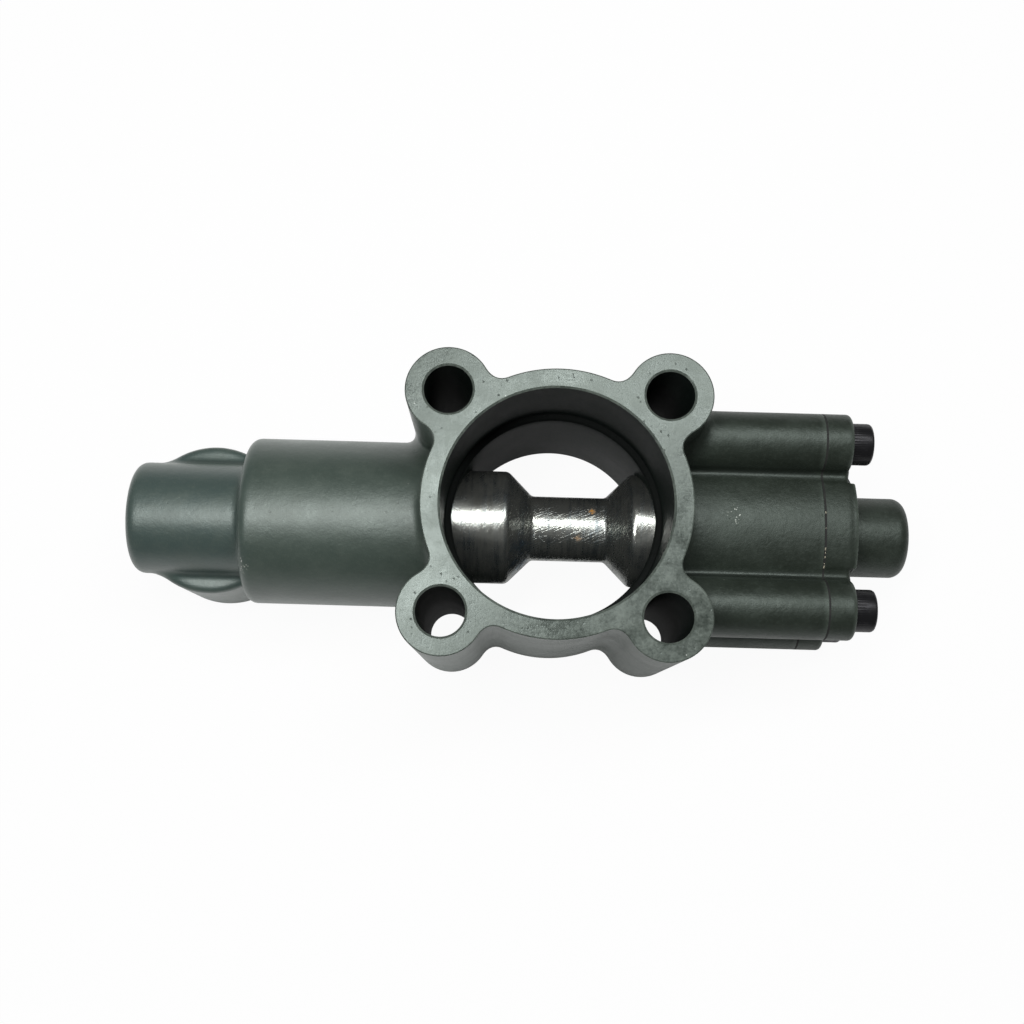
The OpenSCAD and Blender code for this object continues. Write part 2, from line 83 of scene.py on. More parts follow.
class Wire:
    """A socket in a material, with arithmetic that adds Math nodes."""

    def __init__(self, book: "NodeBook", socket: bpy.types.NodeSocket) -> None:
        """Wraps a socket.

        Args:
            book: the material being written.
            socket: the output socket to wrap.
        """
        self.book = book
        self.socket = socket

    def _math(self, kind: str, *values: Union["Wire", Number]) -> "Wire":
        """Adds one Math node.

        Args:
            kind: operation of the Math node.
            values: its inputs in order.

        Returns:
            The node's value.
        """
        inputs = {index: value for index, value in enumerate(values)}
        return self.book.node("ShaderNodeMath", {"operation": kind}, inputs)

    def __add__(self, other: Union["Wire", Number]) -> "Wire":
        """Sum."""
        return self._math("ADD", self, other)

    __radd__ = __add__

    def __sub__(self, other: Union["Wire", Number]) -> "Wire":
        """Difference."""
        return self._math("SUBTRACT", self, other)

    def __rsub__(self, other: Number) -> "Wire":
        """Difference with this wire on the right."""
        return self._math("SUBTRACT", other, self)

    def __mul__(self, other: Union["Wire", Number]) -> "Wire":
        """Product."""
        return self._math("MULTIPLY", self, other)

    __rmul__ = __mul__

    def __abs__(self) -> "Wire":
        """Size without sign."""
        return self._math("ABSOLUTE", self)

    def at_most(self, other: Union["Wire", Number]) -> "Wire":
        """Smaller of two values."""
        return self._math("MINIMUM", self, other)

    def at_least(self, other: Union["Wire", Number]) -> "Wire":
        """Larger of two values."""
        return self._math("MAXIMUM", self, other)

    def band(self, low: float, high: float) -> "Wire":
        """Smooth step from 0 at low to 1 at high, and the other way round if low is larger."""
        if low <= high:
            return self.book.node(
                "ShaderNodeMapRange",
                {"interpolation_type": "SMOOTHSTEP"},
                {"Value": self, "From Min": low, "From Max": high},
            )
        return 1.0 - self.band(high, low)


class NodeBook:
    """Writes the nodes of one material."""

    def __init__(self, name: str) -> None:
        """Makes an empty material.

        Args:
            name: name of the material.
        """
        self.material = bpy.data.materials.new(name)
        self.material.use_nodes = True
        self.tree = self.material.node_tree
        self.tree.nodes.clear()

    def node(
        self,
        kind: str,
        settings: Optional[dict] = None,
        inputs: Optional[dict] = None,
        output: Union[int, str] = 0,
    ) -> Wire:
        """Adds one node.

        Args:
            kind: the node's type.
            settings: properties that are set first.
            inputs: values or wires by socket name or number. A colour has three values.
            output: name or number of the output to return.

        Returns:
            The chosen output.
        """
        made = self.tree.nodes.new(kind)
        for key, value in (settings or {}).items():
            setattr(made, key, value)
        for key, value in (inputs or {}).items():
            socket = made.inputs[key]
            if isinstance(value, Wire):
                self.tree.links.new(value.socket, socket)
            elif socket.type == "RGBA":
                socket.default_value = (*value, 1.0)
            else:
                socket.default_value = value
        if not made.outputs:
            return Wire(self, None)
        return Wire(self, made.outputs[output])

    def place(self, scale: Sequence[float] = (1.0, 1.0, 1.0)) -> Wire:
        """Object coordinates in millimetres, stretched by scale."""
        here = self.node("ShaderNodeTexCoord", {}, {}, "Object")
        return self.node("ShaderNodeMapping", {}, {"Vector": here, "Scale": [s / MM for s in scale]})

    def axes(self) -> tuple[Wire, Wire, Wire]:
        """X, Y and Z of the Object coordinates in millimetres."""
        split = self.node("ShaderNodeSeparateXYZ", {}, {"Vector": self.place()})
        return tuple(Wire(self, out) for out in split.socket.node.outputs)

    def noise(
        self, size: float, detail: float = 4.0, rough: float = 0.55, scale: Sequence[float] = (1, 1, 1)
    ) -> Wire:
        """Noise whose lumps are about size millimetres across."""
        return self.node(
            "ShaderNodeTexNoise",
            {},
            {"Vector": self.place(scale), "Scale": 1.0 / size, "Detail": detail, "Roughness": rough},
            "Fac",
        )

    def streaks(self, turn: float, width: float, length: float) -> Wire:
        """Fine lines in the plane of X and Y.

        Args:
            turn: direction of the lines, in degrees from +X.
            width: distance between lines in millimetres.
            length: how long a line runs in millimetres.

        Returns:
            The noise.
        """
        turned_back = (0.0, 0.0, math.radians(-turn))
        across = self.node("ShaderNodeMapping", {}, {"Vector": self.place(), "Rotation": turned_back})
        drawn = self.node("ShaderNodeMapping", {}, {"Vector": across, "Scale": (width / length, 1.0, 0.3)})
        return self.node(
            "ShaderNodeTexNoise",
            {},
            {"Vector": drawn, "Scale": 1.0 / width, "Detail": 3.0, "Roughness": 0.6},
            "Fac",
        )

    def worn(self) -> Wire:
        """How far the surface bends outward, from 0 in hollow corners over 0.5 on flats to 1 on edges."""
        return self.node("ShaderNodeAttribute", {"attribute_name": BEND}, {}, "Fac")

    def cells(self, size: float) -> Wire:
        """Distance to the nearest of points that are about size millimetres apart."""
        return self.node(
            "ShaderNodeTexVoronoi", {}, {"Vector": self.place(), "Scale": 1.0 / size}, "Distance"
        )

    def blend(self, share: Union[Wire, Number], first: object, second: object) -> Wire:
        """Mixes two colours.

        Args:
            share: 0 gives the first colour and 1 the second.
            first: a colour or a wire.
            second: a colour or a wire.

        Returns:
            The mixed colour.
        """
        return self.node("ShaderNodeMix", {"data_type": "RGBA"}, {0: share, 6: first, 7: second}, 2)

    def bump(self, height: Wire, depth: float) -> Wire:
        """Bump from a height that is given in shares of depth, which is in millimetres."""
        inputs = {"Height": height, "Distance": depth * MM, "Strength": 1.0}
        return self.node("ShaderNodeBump", {}, inputs, "Normal")

    def surface(self, **inputs: object) -> bpy.types.Material:
        """Ends the material with a Principled shader.

        Args:
            inputs: socket names with _ for a blank.

        Returns:
            The finished material.
        """
        named = {key.replace("_", " "): value for key, value in inputs.items()}
        shader = self.node("ShaderNodeBsdfPrincipled", {}, named)
        self.node("ShaderNodeOutputMaterial", {}, {"Surface": shader})
        return self.material


# finishes


@dataclass(frozen=True)
class CastCoat:
    """Dark satin coating over the grain of a casting, cooler and glossier on the nose than on the block,
    with painted light: the nose and tube are painted lighter than the block, faces seen edge-on get a
    painted sheen, and hollow corners get painted shade.

    grain_spots are the middles of two patches of pale grains.
    """

    name: str = "cast_coat"
    # painted light: the nose and tube colours are lighter than the block's olive, for the stronger light on
    # that end
    nose: Colour = (0.042, 0.066, 0.060)
    tube: Colour = (0.042, 0.061, 0.050)
    olive: Colour = (0.013, 0.0175, 0.0125)
    dusty: Colour = (0.078, 0.098, 0.080)
    painted_grazing_sheen: Colour = (0.115, 0.155, 0.130)
    painted_shade: Colour = (0.006, 0.008, 0.007)
    bright: Colour = (0.40, 0.42, 0.38)
    roughness: float = 0.47
    grain_spots: tuple[Point3, ...] = ((42.5, 1.5, 46.0), (-73.5, -13.0, 41.0))

    def material(self) -> bpy.types.Material:
        """The coating as a material."""
        book = NodeBook(self.name)
        along, across, up = book.axes()
        left = along.band(55.0, -75.0)
        nose = along.band(-70.0, -78.0)
        broad = book.noise(17.0, 4.0, 0.6)
        clouds = book.noise(6.0, 4.0, 0.6)
        grain = book.noise(0.9, 5.0, 0.65)
        fine = book.noise(0.3, 2.0)
        waves = book.noise(4.5, 2.0, 0.5)
        drag = book.noise(1.6, 3.0, 0.6, (0.12, 1.0, 1.0))
        pits = book.cells(2.4).band(0.16, 0.05) * clouds.band(0.55, 0.68)
        grains = book.cells(1.5).band(0.09, 0.05) * book.noise(6.0, 2.0).band(0.64, 0.70) * 0.6
        for x, y, z in self.grain_spots:
            off = abs(along - x) + abs(across - y) * 0.8 + abs(up - z) * 0.3
            grains = grains.at_least(off.band(2.8, 1.2) * book.cells(0.7).band(0.30, 0.16))
        # painted light: the coat colour is blended lighter toward the nose and tube end
        coat = book.blend(left, self.olive, book.blend(nose, self.tube, self.nose))
        dust = clouds.band(0.40, 0.75) * 0.28 + grain.band(0.48, 0.8) * 0.34 + drag.band(0.52, 0.8) * 0.16
        bend = book.worn()
        dulled = book.blend(dust.at_most(1.0) * (left * 0.6 + 0.4), coat, self.dusty)
        # painted sheen: faces seen edge-on are blended toward a paler green, as a reflection at grazing
        # angles
        rim = book.node("ShaderNodeLayerWeight", {}, {"Blend": 0.5}, "Facing")
        dulled = book.blend(rim.band(0.55, 1.0) * (left * 0.7 + 0.1), dulled, self.painted_grazing_sheen)
        # painted shade: hollow corners are darkened
        hollow = book.blend(bend.band(0.44, 0.20) * 0.6, dulled, self.painted_shade)
        edged = book.blend(bend.band(0.60, 0.92) * (grain * 0.9 + 0.15), hollow, self.dusty)
        base = book.blend(grains, edged, self.bright)
        varied = (broad - 0.5) * 0.24 + (clouds - 0.5) * 0.20 + (grain - 0.5) * 0.22
        rough = self.roughness - left * 0.06 + varied
        height = grain * 0.75 + fine * 0.25 + waves * 1.4 - pits * 0.8
        return book.surface(
            Base_Color=base,
            Roughness=rough,
            Normal=book.bump(height, 0.10),
            Specular_IOR_Level=0.6,
            Specular_Tint=(0.86, 1.0, 0.92),
            Coat_Weight=left * 0.68,
            Coat_Roughness=0.42,
        )


@dataclass(frozen=True)
class MilledFace:
    """Flat machined face under the coating, with pits and fine nicks."""

    name: str = "milled_face"
    colour: Colour = (0.068, 0.082, 0.071)
    pale: Colour = (0.122, 0.143, 0.124)
    dark: Colour = (0.026, 0.033, 0.028)
    bare: Colour = (0.45, 0.47, 0.44)
    roughness: float = 0.25

    def material(self) -> bpy.types.Material:
        """The machined face as a material."""
        book = NodeBook(self.name)
        pits = book.cells(1.7).band(0.20, 0.08) * book.noise(5.0).band(0.48, 0.60)
        nicks = book.cells(3.1).band(0.06, 0.03) * book.noise(7.0, 1.0).band(0.57, 0.63)
        mottle = book.noise(0.9, 5.0, 0.72)
        clouds = book.noise(4.2, 4.0, 0.62)
        broad = book.noise(13.0, 3.0)
        feed = book.noise(0.5, 2.0, 0.5, (1.0, 0.05, 1.0))
        rubbed = book.streaks(28.0, 0.35, 9.0).band(0.60, 0.72) * clouds.band(0.45, 0.7)
        light = mottle.band(0.45, 0.75) * 0.6 + clouds.band(0.45, 0.75) * 0.5 + rubbed * 0.6
        shade = pits * 0.85 + clouds.band(0.50, 0.28) * 0.6 + mottle.band(0.5, 0.28) * 0.6
        pale = book.blend(light.at_most(1.0), self.colour, self.pale)
        base = book.blend(nicks, book.blend(shade.at_most(1.0), pale, self.dark), self.bare)
        varied = (broad - 0.5) * 0.22 + (clouds - 0.5) * 0.36 + (mottle - 0.5) * 0.24
        rough = (self.roughness + varied + pits * 0.2).at_least(0.12)
        return book.surface(
            Base_Color=base,
            Roughness=rough,
            Normal=book.bump(feed * 0.25 + mottle * 0.6 + clouds * 1.2 - pits, 0.028),
            Specular_IOR_Level=0.42,
            Specular_Tint=(0.88, 1.0, 0.94),
        )


@dataclass(frozen=True)
class BoredWall:
    """Turned wall of a bore, coated, with tool marks around it, and with painted shade on and near the
    ledge and on upward faces inside the bore.

    ledge_z is the height of the ledge, and reach is a little more than the radius of the big bore.
    """

    name: str = "bored_wall"
    colour: Colour = (0.009, 0.0145, 0.0125)
    pale: Colour = (0.026, 0.036, 0.031)
    # colour of the painted shade on the ledge
    ledge_shade_colour: Colour = (0.004, 0.005, 0.0045)
    ledge_z: float = 40.3
    reach: float = 28.0

    def material(self) -> bpy.types.Material:
        """The bored wall as a material."""
        book = NodeBook(self.name)
        along, across, up = book.axes()
        marks = book.noise(0.4, 2.0, 0.5, (0.02, 0.02, 1.0))
        broad = book.noise(11.0, 4.0, 0.6)
        grain = book.noise(0.9, 4.0, 0.65)
        share = broad.band(0.35, 0.8) * 0.5 + grain.band(0.55, 0.85) * 0.3
        wall = book.blend(share.at_most(1.0), self.colour, self.pale)
        # painted shade: on and near the ledge and on upward faces inside the bore, the wall is darkened and
        # dulled
        inside = (along * along + across * across).band(self.reach**2, (self.reach - 1.0) ** 2)
        facing = book.node("ShaderNodeNewGeometry", {}, {}, "Normal")
        upward = book.node("ShaderNodeSeparateXYZ", {}, {"Vector": facing}, "Z").band(0.05, 0.5)
        ledge_shade = (abs(up - self.ledge_z).band(4.0, 0.2) * 0.35).at_least(upward)
        ledge_shade = ledge_shade * inside * (grain * 0.3 + 0.75)
        ledge_shade = ledge_shade.at_most(1.0)
        return book.surface(
            Base_Color=book.blend(ledge_shade, wall, self.ledge_shade_colour),
            Roughness=0.50 + (broad - 0.5) * 0.18 + (grain - 0.5) * 0.1 + ledge_shade * 0.3,
            Normal=book.bump(marks + grain * 1.2, 0.014),
            Specular_IOR_Level=0.12,
        )


@dataclass(frozen=True)
class GroundSteel:
    """Ground and polished steel with rings from turning, hatched scratches, a painted bluish reflection and
    rust specks.

    middle is the middle of the waist along X, tint_at the middle of the painted bluish reflection, and each
    rust spot has its place and its strength.
    """

    name: str = "ground_steel"
    colour: Colour = (0.37, 0.38, 0.35)
    dull: Colour = (0.14, 0.16, 0.165)
    bluish_reflection: Colour = (0.13, 0.19, 0.24)
    roughness: float = 0.215
    metallic: float = 0.895
    middle: float = 4.0
    tint_at: Point3 = (-8.0, -8.5, 33.0)
    rust: Colour = (0.40, 0.19, 0.035)
    scratched: bool = True
    rust_spots: tuple[tuple[float, float, float, float], ...] = (
        (9.6, 3.5, 33.2, 1.0),
        (6.3, -3.3, 33.2, 0.55),
    )

    def material(self) -> bpy.types.Material:
        """The steel as a material."""
        book = NodeBook(self.name)
        along, across, up = book.axes()
        waist = along.band(-9.5, -6.0) * along.band(17.5, 14.0)
        around = book.noise(0.20, 3.0, 0.6, (1.0, 0.02, 0.02))
        rings = book.noise(1.3, 5.0, 0.7, (1.0, 0.07, 0.07))
        slant = book.streaks(22.0, 0.20, 6.0)
        stray = book.streaks(-24.0, 0.3, 6.0)
        hatch = book.streaks(58.0, 0.25, 3.0)
        worn = book.noise(5.0, 4.0, 0.6)
        stain = book.noise(2.2, 4.0, 0.65)
        cones = abs(along - self.middle).band(8.0, 9.5) * abs(along - self.middle).band(15.5, 14.5)
        cuts = slant.band(0.52, 0.66) * worn.band(0.30, 0.55) * (waist * 0.8 + 0.2)
        hatched = hatch.band(0.52, 0.66) * (cones * 0.7 + 0.2)
        lines = cuts + hatched + stray.band(0.62, 0.72) * 0.35
        lines = lines.at_most(1.0)
        dulled = worn.band(0.46, 0.66) * 0.40 + stain.band(0.52, 0.74) * 0.30 + lines * 0.45
        dulled = dulled + rings.band(0.46, 0.62) * 0.55
        base = book.blend(dulled.at_most(1.0), self.colour, self.dull)
        # painted reflection: a bluish patch on the left cone around tint_at
        off = abs(along - self.tint_at[0]) + abs(across - self.tint_at[1]) * 0.7
        off = off + abs(up - self.tint_at[2]) * 0.5
        base = book.blend(off.band(8.0, 2.0) * stain.band(0.35, 0.65), base, self.bluish_reflection)
        inputs: dict[str, object] = {
            "Metallic": self.metallic,
            "Roughness": self.roughness + lines * 0.16 + (worn - 0.5) * 0.20 + (rings - 0.5) * 0.34,
        }
        if self.scratched:
            share = self._rust_mask(book)
            base = book.blend(share, base, self.rust)
            inputs["Metallic"] = self.metallic - share * self.metallic
        height = around * 1.3 + lines * 1.4 + slant * waist * 2.2 + hatch * cones * 1.8
        height = height + stain * 1.4 + worn * 2.4 + rings * 0.8
        return book.surface(
            Base_Color=base,
            Normal=book.bump(height, 0.010),
            **inputs,
        )

    def _rust_mask(self, book: NodeBook) -> Wire:
        """Where the rust is: a few ragged spots on the waist and fine specks all over."""
        along, across, up = book.axes()
        ragged = book.noise(0.55, 4.0, 0.7)
        mask = book.cells(7.0).band(0.05, 0.03) * book.noise(11.0).band(0.52, 0.6) * 0.6
        for x, y, z, depth in self.rust_spots:
            off = abs(along - x) + abs(across - y) + abs(up - z) * 0.5
            mask = mask.at_least((off + (ragged - 0.5) * 3.4).band(1.5, 0.2) * depth)
        return mask


@dataclass(frozen=True)
class Blackened:
    """Black oxide on screws."""

    name: str = "blackened_steel"
    colour: Colour = (0.018, 0.018, 0.020)
    worn: Colour = (0.06, 0.06, 0.065)

    def material(self) -> bpy.types.Material:
        """The oxide as a material."""
        book = NodeBook(self.name)
        broad = book.noise(2.0, 3.0)
        base = book.blend(broad.band(0.55, 0.85) * 0.5, self.colour, self.worn)
        return book.surface(
            Base_Color=base,
            Metallic=0.6,
            Roughness=0.36 + (broad - 0.5) * 0.2,
            Normal=book.bump(book.noise(0.4), 0.01),
        )


@dataclass(frozen=True)
class Grained:
    """Plain solid such as rubber, bronze, polymer, plated or drawn steel."""

    name: str
    colour: Colour
    other: Colour
    roughness: float
    metallic: float = 0.0
    grain: float = 1.5
    depth: float = 0.01

    def material(self) -> bpy.types.Material:
        """The solid as a material."""
        book = NodeBook(self.name)
        lumps = book.noise(self.grain, 3.0)
        return book.surface(
            Base_Color=book.blend(lumps.band(0.35, 0.8), self.colour, self.other),
            Metallic=self.metallic,
            Roughness=self.roughness + (lumps - 0.5) * 0.15,
            Normal=book.bump(lumps, self.depth),
        )


class Finishes:
    """Every finish of the valve, made once."""

    def __init__(self) -> None:
        """Makes the materials."""
        self.cast = CastCoat().material()
        self.milled = MilledFace().material()
        self.bored = BoredWall().material()
        self.steel = GroundSteel().material()
        self.clean_steel = GroundSteel(name="turned_steel", scratched=False).material()
        self.black = Blackened().material()
        self.gasket = Grained("gasket_sheet", (0.008, 0.009, 0.008), (0.02, 0.021, 0.018), 0.8).material()
        self.sealant = Grained(
            "sealant", (0.40, 0.38, 0.28), (0.16, 0.155, 0.115), 0.5, grain=0.8
        ).material()
        self.rubber = Grained("seal_rubber", (0.018, 0.018, 0.018), (0.03, 0.03, 0.03), 0.55).material()
        self.polymer = Grained("polymer", (0.14, 0.10, 0.06), (0.20, 0.15, 0.10), 0.5).material()
        self.bronze = Grained("bronze", (0.52, 0.36, 0.17), (0.40, 0.27, 0.12), 0.32, 1.0).material()
        self.plated = Grained("plated_steel", (0.60, 0.58, 0.50), (0.45, 0.43, 0.36), 0.30, 1.0).material()
        self.wire = Grained("spring_wire", (0.30, 0.30, 0.31), (0.20, 0.20, 0.21), 0.35, 1.0).material()
        self.porous = Grained(
            "porous_bronze", (0.50, 0.34, 0.16), (0.20, 0.13, 0.06), 0.6, 0.8, 0.4, 0.08
        ).material()


# modelling


def turned(
    profile: Sequence[Point2], axis: Axis, place: Sequence[float], steps: int = 128
) -> bmesh.types.BMesh:
    """Turns a profile into a closed solid.

    Args:
        profile: radius and height of each corner, from one end on the axis to the other.
        axis: direction of the solid's own height.
        place: where the height 0 of the axis is.
        steps: faces around.

    Returns:
        The solid in millimetres.
    """
    bm = bmesh.new()
    corners = [bm.verts.new((radius, 0.0, height)) for radius, height in profile]
    edges = [bm.edges.new(pair) for pair in zip(corners, corners[1:])]
    bmesh.ops.spin(
        bm,
        geom=corners + edges,
        cent=(0.0, 0.0, 0.0),
        axis=(0.0, 0.0, 1.0),
        angle=TURN,
        steps=steps,
        use_merge=True,
    )
    bmesh.ops.remove_doubles(bm, verts=bm.verts, dist=1e-5)
    bmesh.ops.transform(bm, matrix=Matrix.Translation(place) @ axis.value, verts=bm.verts)
    bmesh.ops.recalc_face_normals(bm, faces=bm.faces)
    return bm


def plug(radius: float, start: float, end: float) -> list[Point2]:
    """Profile of a plain round plug from start to end."""
    return [(0.0, start), (radius, start), (radius, end), (0.0, end)]


def rounded(corners: Sequence[Point3], steps: int = 6) -> list[Point2]:
    """Rounds the corners of a profile.

    Args:
        corners: radius and height of each corner, and the radius that rounds it.
        steps: straight pieces in each rounding.

    Returns:
        The profile with an arc in place of each rounded corner.
    """
    profile: list[Point2] = [corners[0][:2]]
    for before, here, after in zip(corners, corners[1:], corners[2:]):
        centre = Vector(here[:2])
        back = (Vector(before[:2]) - centre).normalized()
        on = (Vector(after[:2]) - centre).normalized()
        half = back.angle(on) / 2
        if here[2] <= 0.0 or half > STRAIGHT:
            profile.append(here[:2])
            continue
        middle = centre + (back + on).normalized() * (here[2] / math.sin(half))
        first = centre + back * (here[2] / math.tan(half)) - middle
        last = centre + on * (here[2] / math.tan(half)) - middle
        sweep = first.angle_signed(last)
        for i in range(steps + 1):
            arm = first.copy()
            arm.rotate(Matrix.Rotation(-sweep * i / steps, 2))
            profile.append(tuple(middle + arm))
    return profile + [corners[-1][:2]]


def joined(parts: Iterable[bmesh.types.BMesh]) -> bmesh.types.BMesh:
    """Puts several solids into one mesh, and frees them.

    Args:
        parts: the solids.

    Returns:
        One mesh that holds them all.
    """
    whole = bmesh.new()
    for part in parts:
        mesh = bpy.data.meshes.new("part")
        part.to_mesh(mesh)
        part.free()
        whole.from_mesh(mesh)
        bpy.data.meshes.remove(mesh)
    return whole


def as_object(bm: bmesh.types.BMesh, name: str) -> bpy.types.Object:
    """Turns a mesh in millimetres into an object in metres.

    Args:
        bm: the mesh, which is freed.
        name: name of the object.

    Returns:
        The object, linked to the scene.
    """
    bmesh.ops.scale(bm, vec=(MM, MM, MM), verts=bm.verts)
    mesh = bpy.data.meshes.new(name)
    bm.to_mesh(mesh)
    bm.free()
    made = bpy.data.objects.new(name, mesh)
    bpy.context.scene.collection.objects.link(made)
    return made


def apply_modifiers(piece: bpy.types.Object) -> None:
    """Bakes the modifiers of a piece into its mesh."""
    graph = bpy.context.evaluated_depsgraph_get()
    mesh = bpy.data.meshes.new_from_object(piece.evaluated_get(graph))
    old = piece.data
    piece.modifiers.clear()
    piece.data = mesh
    bpy.data.meshes.remove(old)
    mesh.name = piece.name


def cut(piece: bpy.types.Object, cutters: Sequence[bmesh.types.BMesh]) -> None:
    """Cuts solids out of a piece.

    Args:
        piece: the piece in metres.
        cutters: closed solids in millimetres, which are freed.
    """
    tools = [as_object(cutter, "cutter") for cutter in cutters]
    for tool in tools:
        modifier = piece.modifiers.new("cut", "BOOLEAN")
        modifier.operation = "DIFFERENCE"
        modifier.solver = "MANIFOLD"
        modifier.object = tool
    apply_modifiers(piece)
    for tool in tools:
        mesh = tool.data
        bpy.data.objects.remove(tool)
        bpy.data.meshes.remove(mesh)


def coat(piece: bpy.types.Object, *finishes: bpy.types.Material) -> None:
    """Gives a piece its finishes, of which the first covers it all."""
    piece.data.materials.clear()
    for finish in finishes:
        piece.data.materials.append(finish)


def smooth_by_angle(mesh: bpy.types.Mesh, degrees: float) -> None:
    """Smooth faces with sharp edges where the surface turns by more than an angle."""
    mesh.polygons.foreach_set("use_smooth", [True] * len(mesh.polygons))
    mesh.set_sharp_from_angle(angle=math.radians(degrees))


def mark_bend(mesh: bpy.types.Mesh, reach: float) -> None:
    """Stores how the surface bends at each vertex, so that a finish can wear edges and paint shade into
    hollow corners.

    Args:
        mesh: the mesh in metres.
        reach: radius of an edge, in millimetres, that counts as fully worn.
    """
    count = len(mesh.vertices)
    place, normal = np.zeros(count * 3), np.zeros(count * 3)
    mesh.vertices.foreach_get("co", place)
    mesh.vertices.foreach_get("normal", normal)
    place, normal = place.reshape(-1, 3) / MM, normal.reshape(-1, 3)
    pairs = np.zeros(len(mesh.edges) * 2, dtype=np.int64)
    mesh.edges.foreach_get("vertices", pairs)
    first, second = pairs.reshape(-1, 2).T
    way = place[second] - place[first]
    size = np.maximum((way * way).sum(1), SHORTEST**2)
    keep = size < LONGEST**2
    first, second, way, size = first[keep], second[keep], way[keep], size[keep]
    turn = ((normal[second] - normal[first]) * way).sum(1) / size
    total = np.bincount(first, turn, count) + np.bincount(second, turn, count)
    near = np.bincount(first, minlength=count) + np.bincount(second, minlength=count)
    bend = total / np.maximum(near, 1)
    for _ in range(3):
        spread = np.bincount(first, bend[second], count) + np.bincount(second, bend[first], count)
        bend = 0.5 * bend + 0.5 * spread / np.maximum(near, 1)
    values = np.clip(0.5 + 0.5 * bend * reach, 0.0, 1.0).astype(np.float32)
    mesh.attributes.new(BEND, "FLOAT", "POINT").data.foreach_set("value", values)


# cast forms


class Form:
    """A solid that knows how far a point is from it, so that castings get true hollow corners."""

    def distance(self, points: np.ndarray) -> np.ndarray:
        """Distance of points from the surface, negative inside."""
        raise NotImplementedError

    def solids(self) -> list[bmesh.types.BMesh]:
        """Rough closed solids that fill the form."""
        raise NotImplementedError


@dataclass
class RoundBar(Form):
    """Round bar with rounded ends."""

    axis: Axis
    centre: Point2
    start: float
    end: float
    radius: float
    edge: float

    def distance(self, points: np.ndarray) -> np.ndarray:
        """Distance from the bar."""
        if self.axis is Axis.X:
            along, across = points[:, 0], points[:, 1:]
        else:
            along, across = points[:, 2], points[:, :2]
        out = np.hypot(across[:, 0] - self.centre[0], across[:, 1] - self.centre[1])
        out = out - (self.radius - self.edge)
        past = np.abs(along - (self.start + self.end) / 2) - ((self.end - self.start) / 2 - self.edge)
        inside = np.minimum(np.maximum(out, past), 0.0)
        return np.hypot(np.maximum(out, 0.0), np.maximum(past, 0.0)) + inside - self.edge

    def solids(self) -> list[bmesh.types.BMesh]:
        """The bar as a turned solid."""
        place = (0.0, *self.centre) if self.axis is Axis.X else (*self.centre, 0.0)
        return [turned(plug(self.radius, self.start, self.end), self.axis, place, 72)]


@dataclass
class Grown(Form):
    """Several forms grown together with a hollow corner of one radius."""

    parts: Sequence[Form]
    corner: float

    def distance(self, points: np.ndarray) -> np.ndarray:
        """Distance from the grown form."""
        total = self.parts[0].distance(points)
        for part in self.parts[1:]:
            other = part.distance(points)
            near = np.hypot(np.maximum(self.corner - total, 0.0), np.maximum(self.corner - other, 0.0))
            total = np.maximum(self.corner, np.minimum(total, other)) - near
        return total

    def solids(self) -> list[bmesh.types.BMesh]:
        """All parts' solids."""
        return [solid for part in self.parts for solid in part.solids()]


@dataclass
class Carved(Form):
    """A form with round faces cut away along X, each around its own centre."""

    base: Form
    centres: Sequence[Point2]
    radius: float
    corner: float

    def distance(self, points: np.ndarray) -> np.ndarray:
        """Distance from what is left."""
        total = self.base.distance(points)
        for y, z in self.centres:
            other = self.radius - np.hypot(points[:, 1] - y, points[:, 2] - z)
            near = np.hypot(np.maximum(self.corner + total, 0.0), np.maximum(self.corner + other, 0.0))
            total = np.minimum(-self.corner, np.maximum(total, other)) + near
        return total

    def solids(self) -> list[bmesh.types.BMesh]:
        """The solids before the cut."""
        return self.base.solids()


@dataclass
class CastPiece:
    """A casting made from a form: remeshed, drawn onto the true surface, then machined."""

    name: str
    form: Form
    grid: float
    flats: Sequence[tuple[Vector, Vector]]

    def build(self) -> bpy.types.Object:
        """Makes the casting.

        Returns:
            The piece with flat machined ends, before any bore is cut.
        """
        piece = as_object(joined(self.form.solids()), self.name)
        remesh = piece.modifiers.new("grid", "REMESH")
        remesh.mode = "VOXEL"
        remesh.voxel_size = self.grid * MM
        apply_modifiers(piece)
        for rounds in (3, 2, 0):
            self._draw_on(piece.data)
            if rounds:
                even = piece.modifiers.new("even", "SMOOTH")
                even.factor = 0.5
                even.iterations = rounds
                apply_modifiers(piece)
        self._mill(piece)
        return piece

    def _draw_on(self, mesh: bpy.types.Mesh) -> None:
        """Moves every vertex onto the surface of the form."""
        flat = np.zeros(len(mesh.vertices) * 3)
        mesh.vertices.foreach_get("co", flat)
        points = flat.reshape(-1, 3) / MM
        reach = self.grid * 0.7
        probe = 0.02
        for _ in range(6):
            here = self.form.distance(points)
            slope = np.empty_like(points)
            for i in range(3):
                step = np.zeros(3)
                step[i] = probe
                rise = self.form.distance(points + step) - self.form.distance(points - step)
                slope[:, i] = rise / (2 * probe)
            size = np.maximum((slope * slope).sum(1), 0.2)
            shift = np.clip(here / size, -reach, reach)
            points -= slope * shift[:, None]
        mesh.vertices.foreach_set("co", (points * MM).ravel())
        mesh.update()

    def _mill(self, piece: bpy.types.Object) -> None:
        """Cuts the ends flat and closes them."""
        bm = bmesh.new()
        bm.from_mesh(piece.data)
        for point, normal in self.flats:
            bmesh.ops.bisect_plane(
                bm,
                geom=bm.verts[:] + bm.edges[:] + bm.faces[:],
                dist=1e-7,
                plane_co=point * MM,
                plane_no=normal,
                clear_outer=True,
            )
            rim = [edge for edge in bm.edges if edge.is_boundary]
            bmesh.ops.holes_fill(bm, edges=rim, sides=0)
        bmesh.ops.recalc_face_normals(bm, faces=bm.faces)
        bm.to_mesh(piece.data)
        bm.free()


# sizes shared by the sub-assemblies


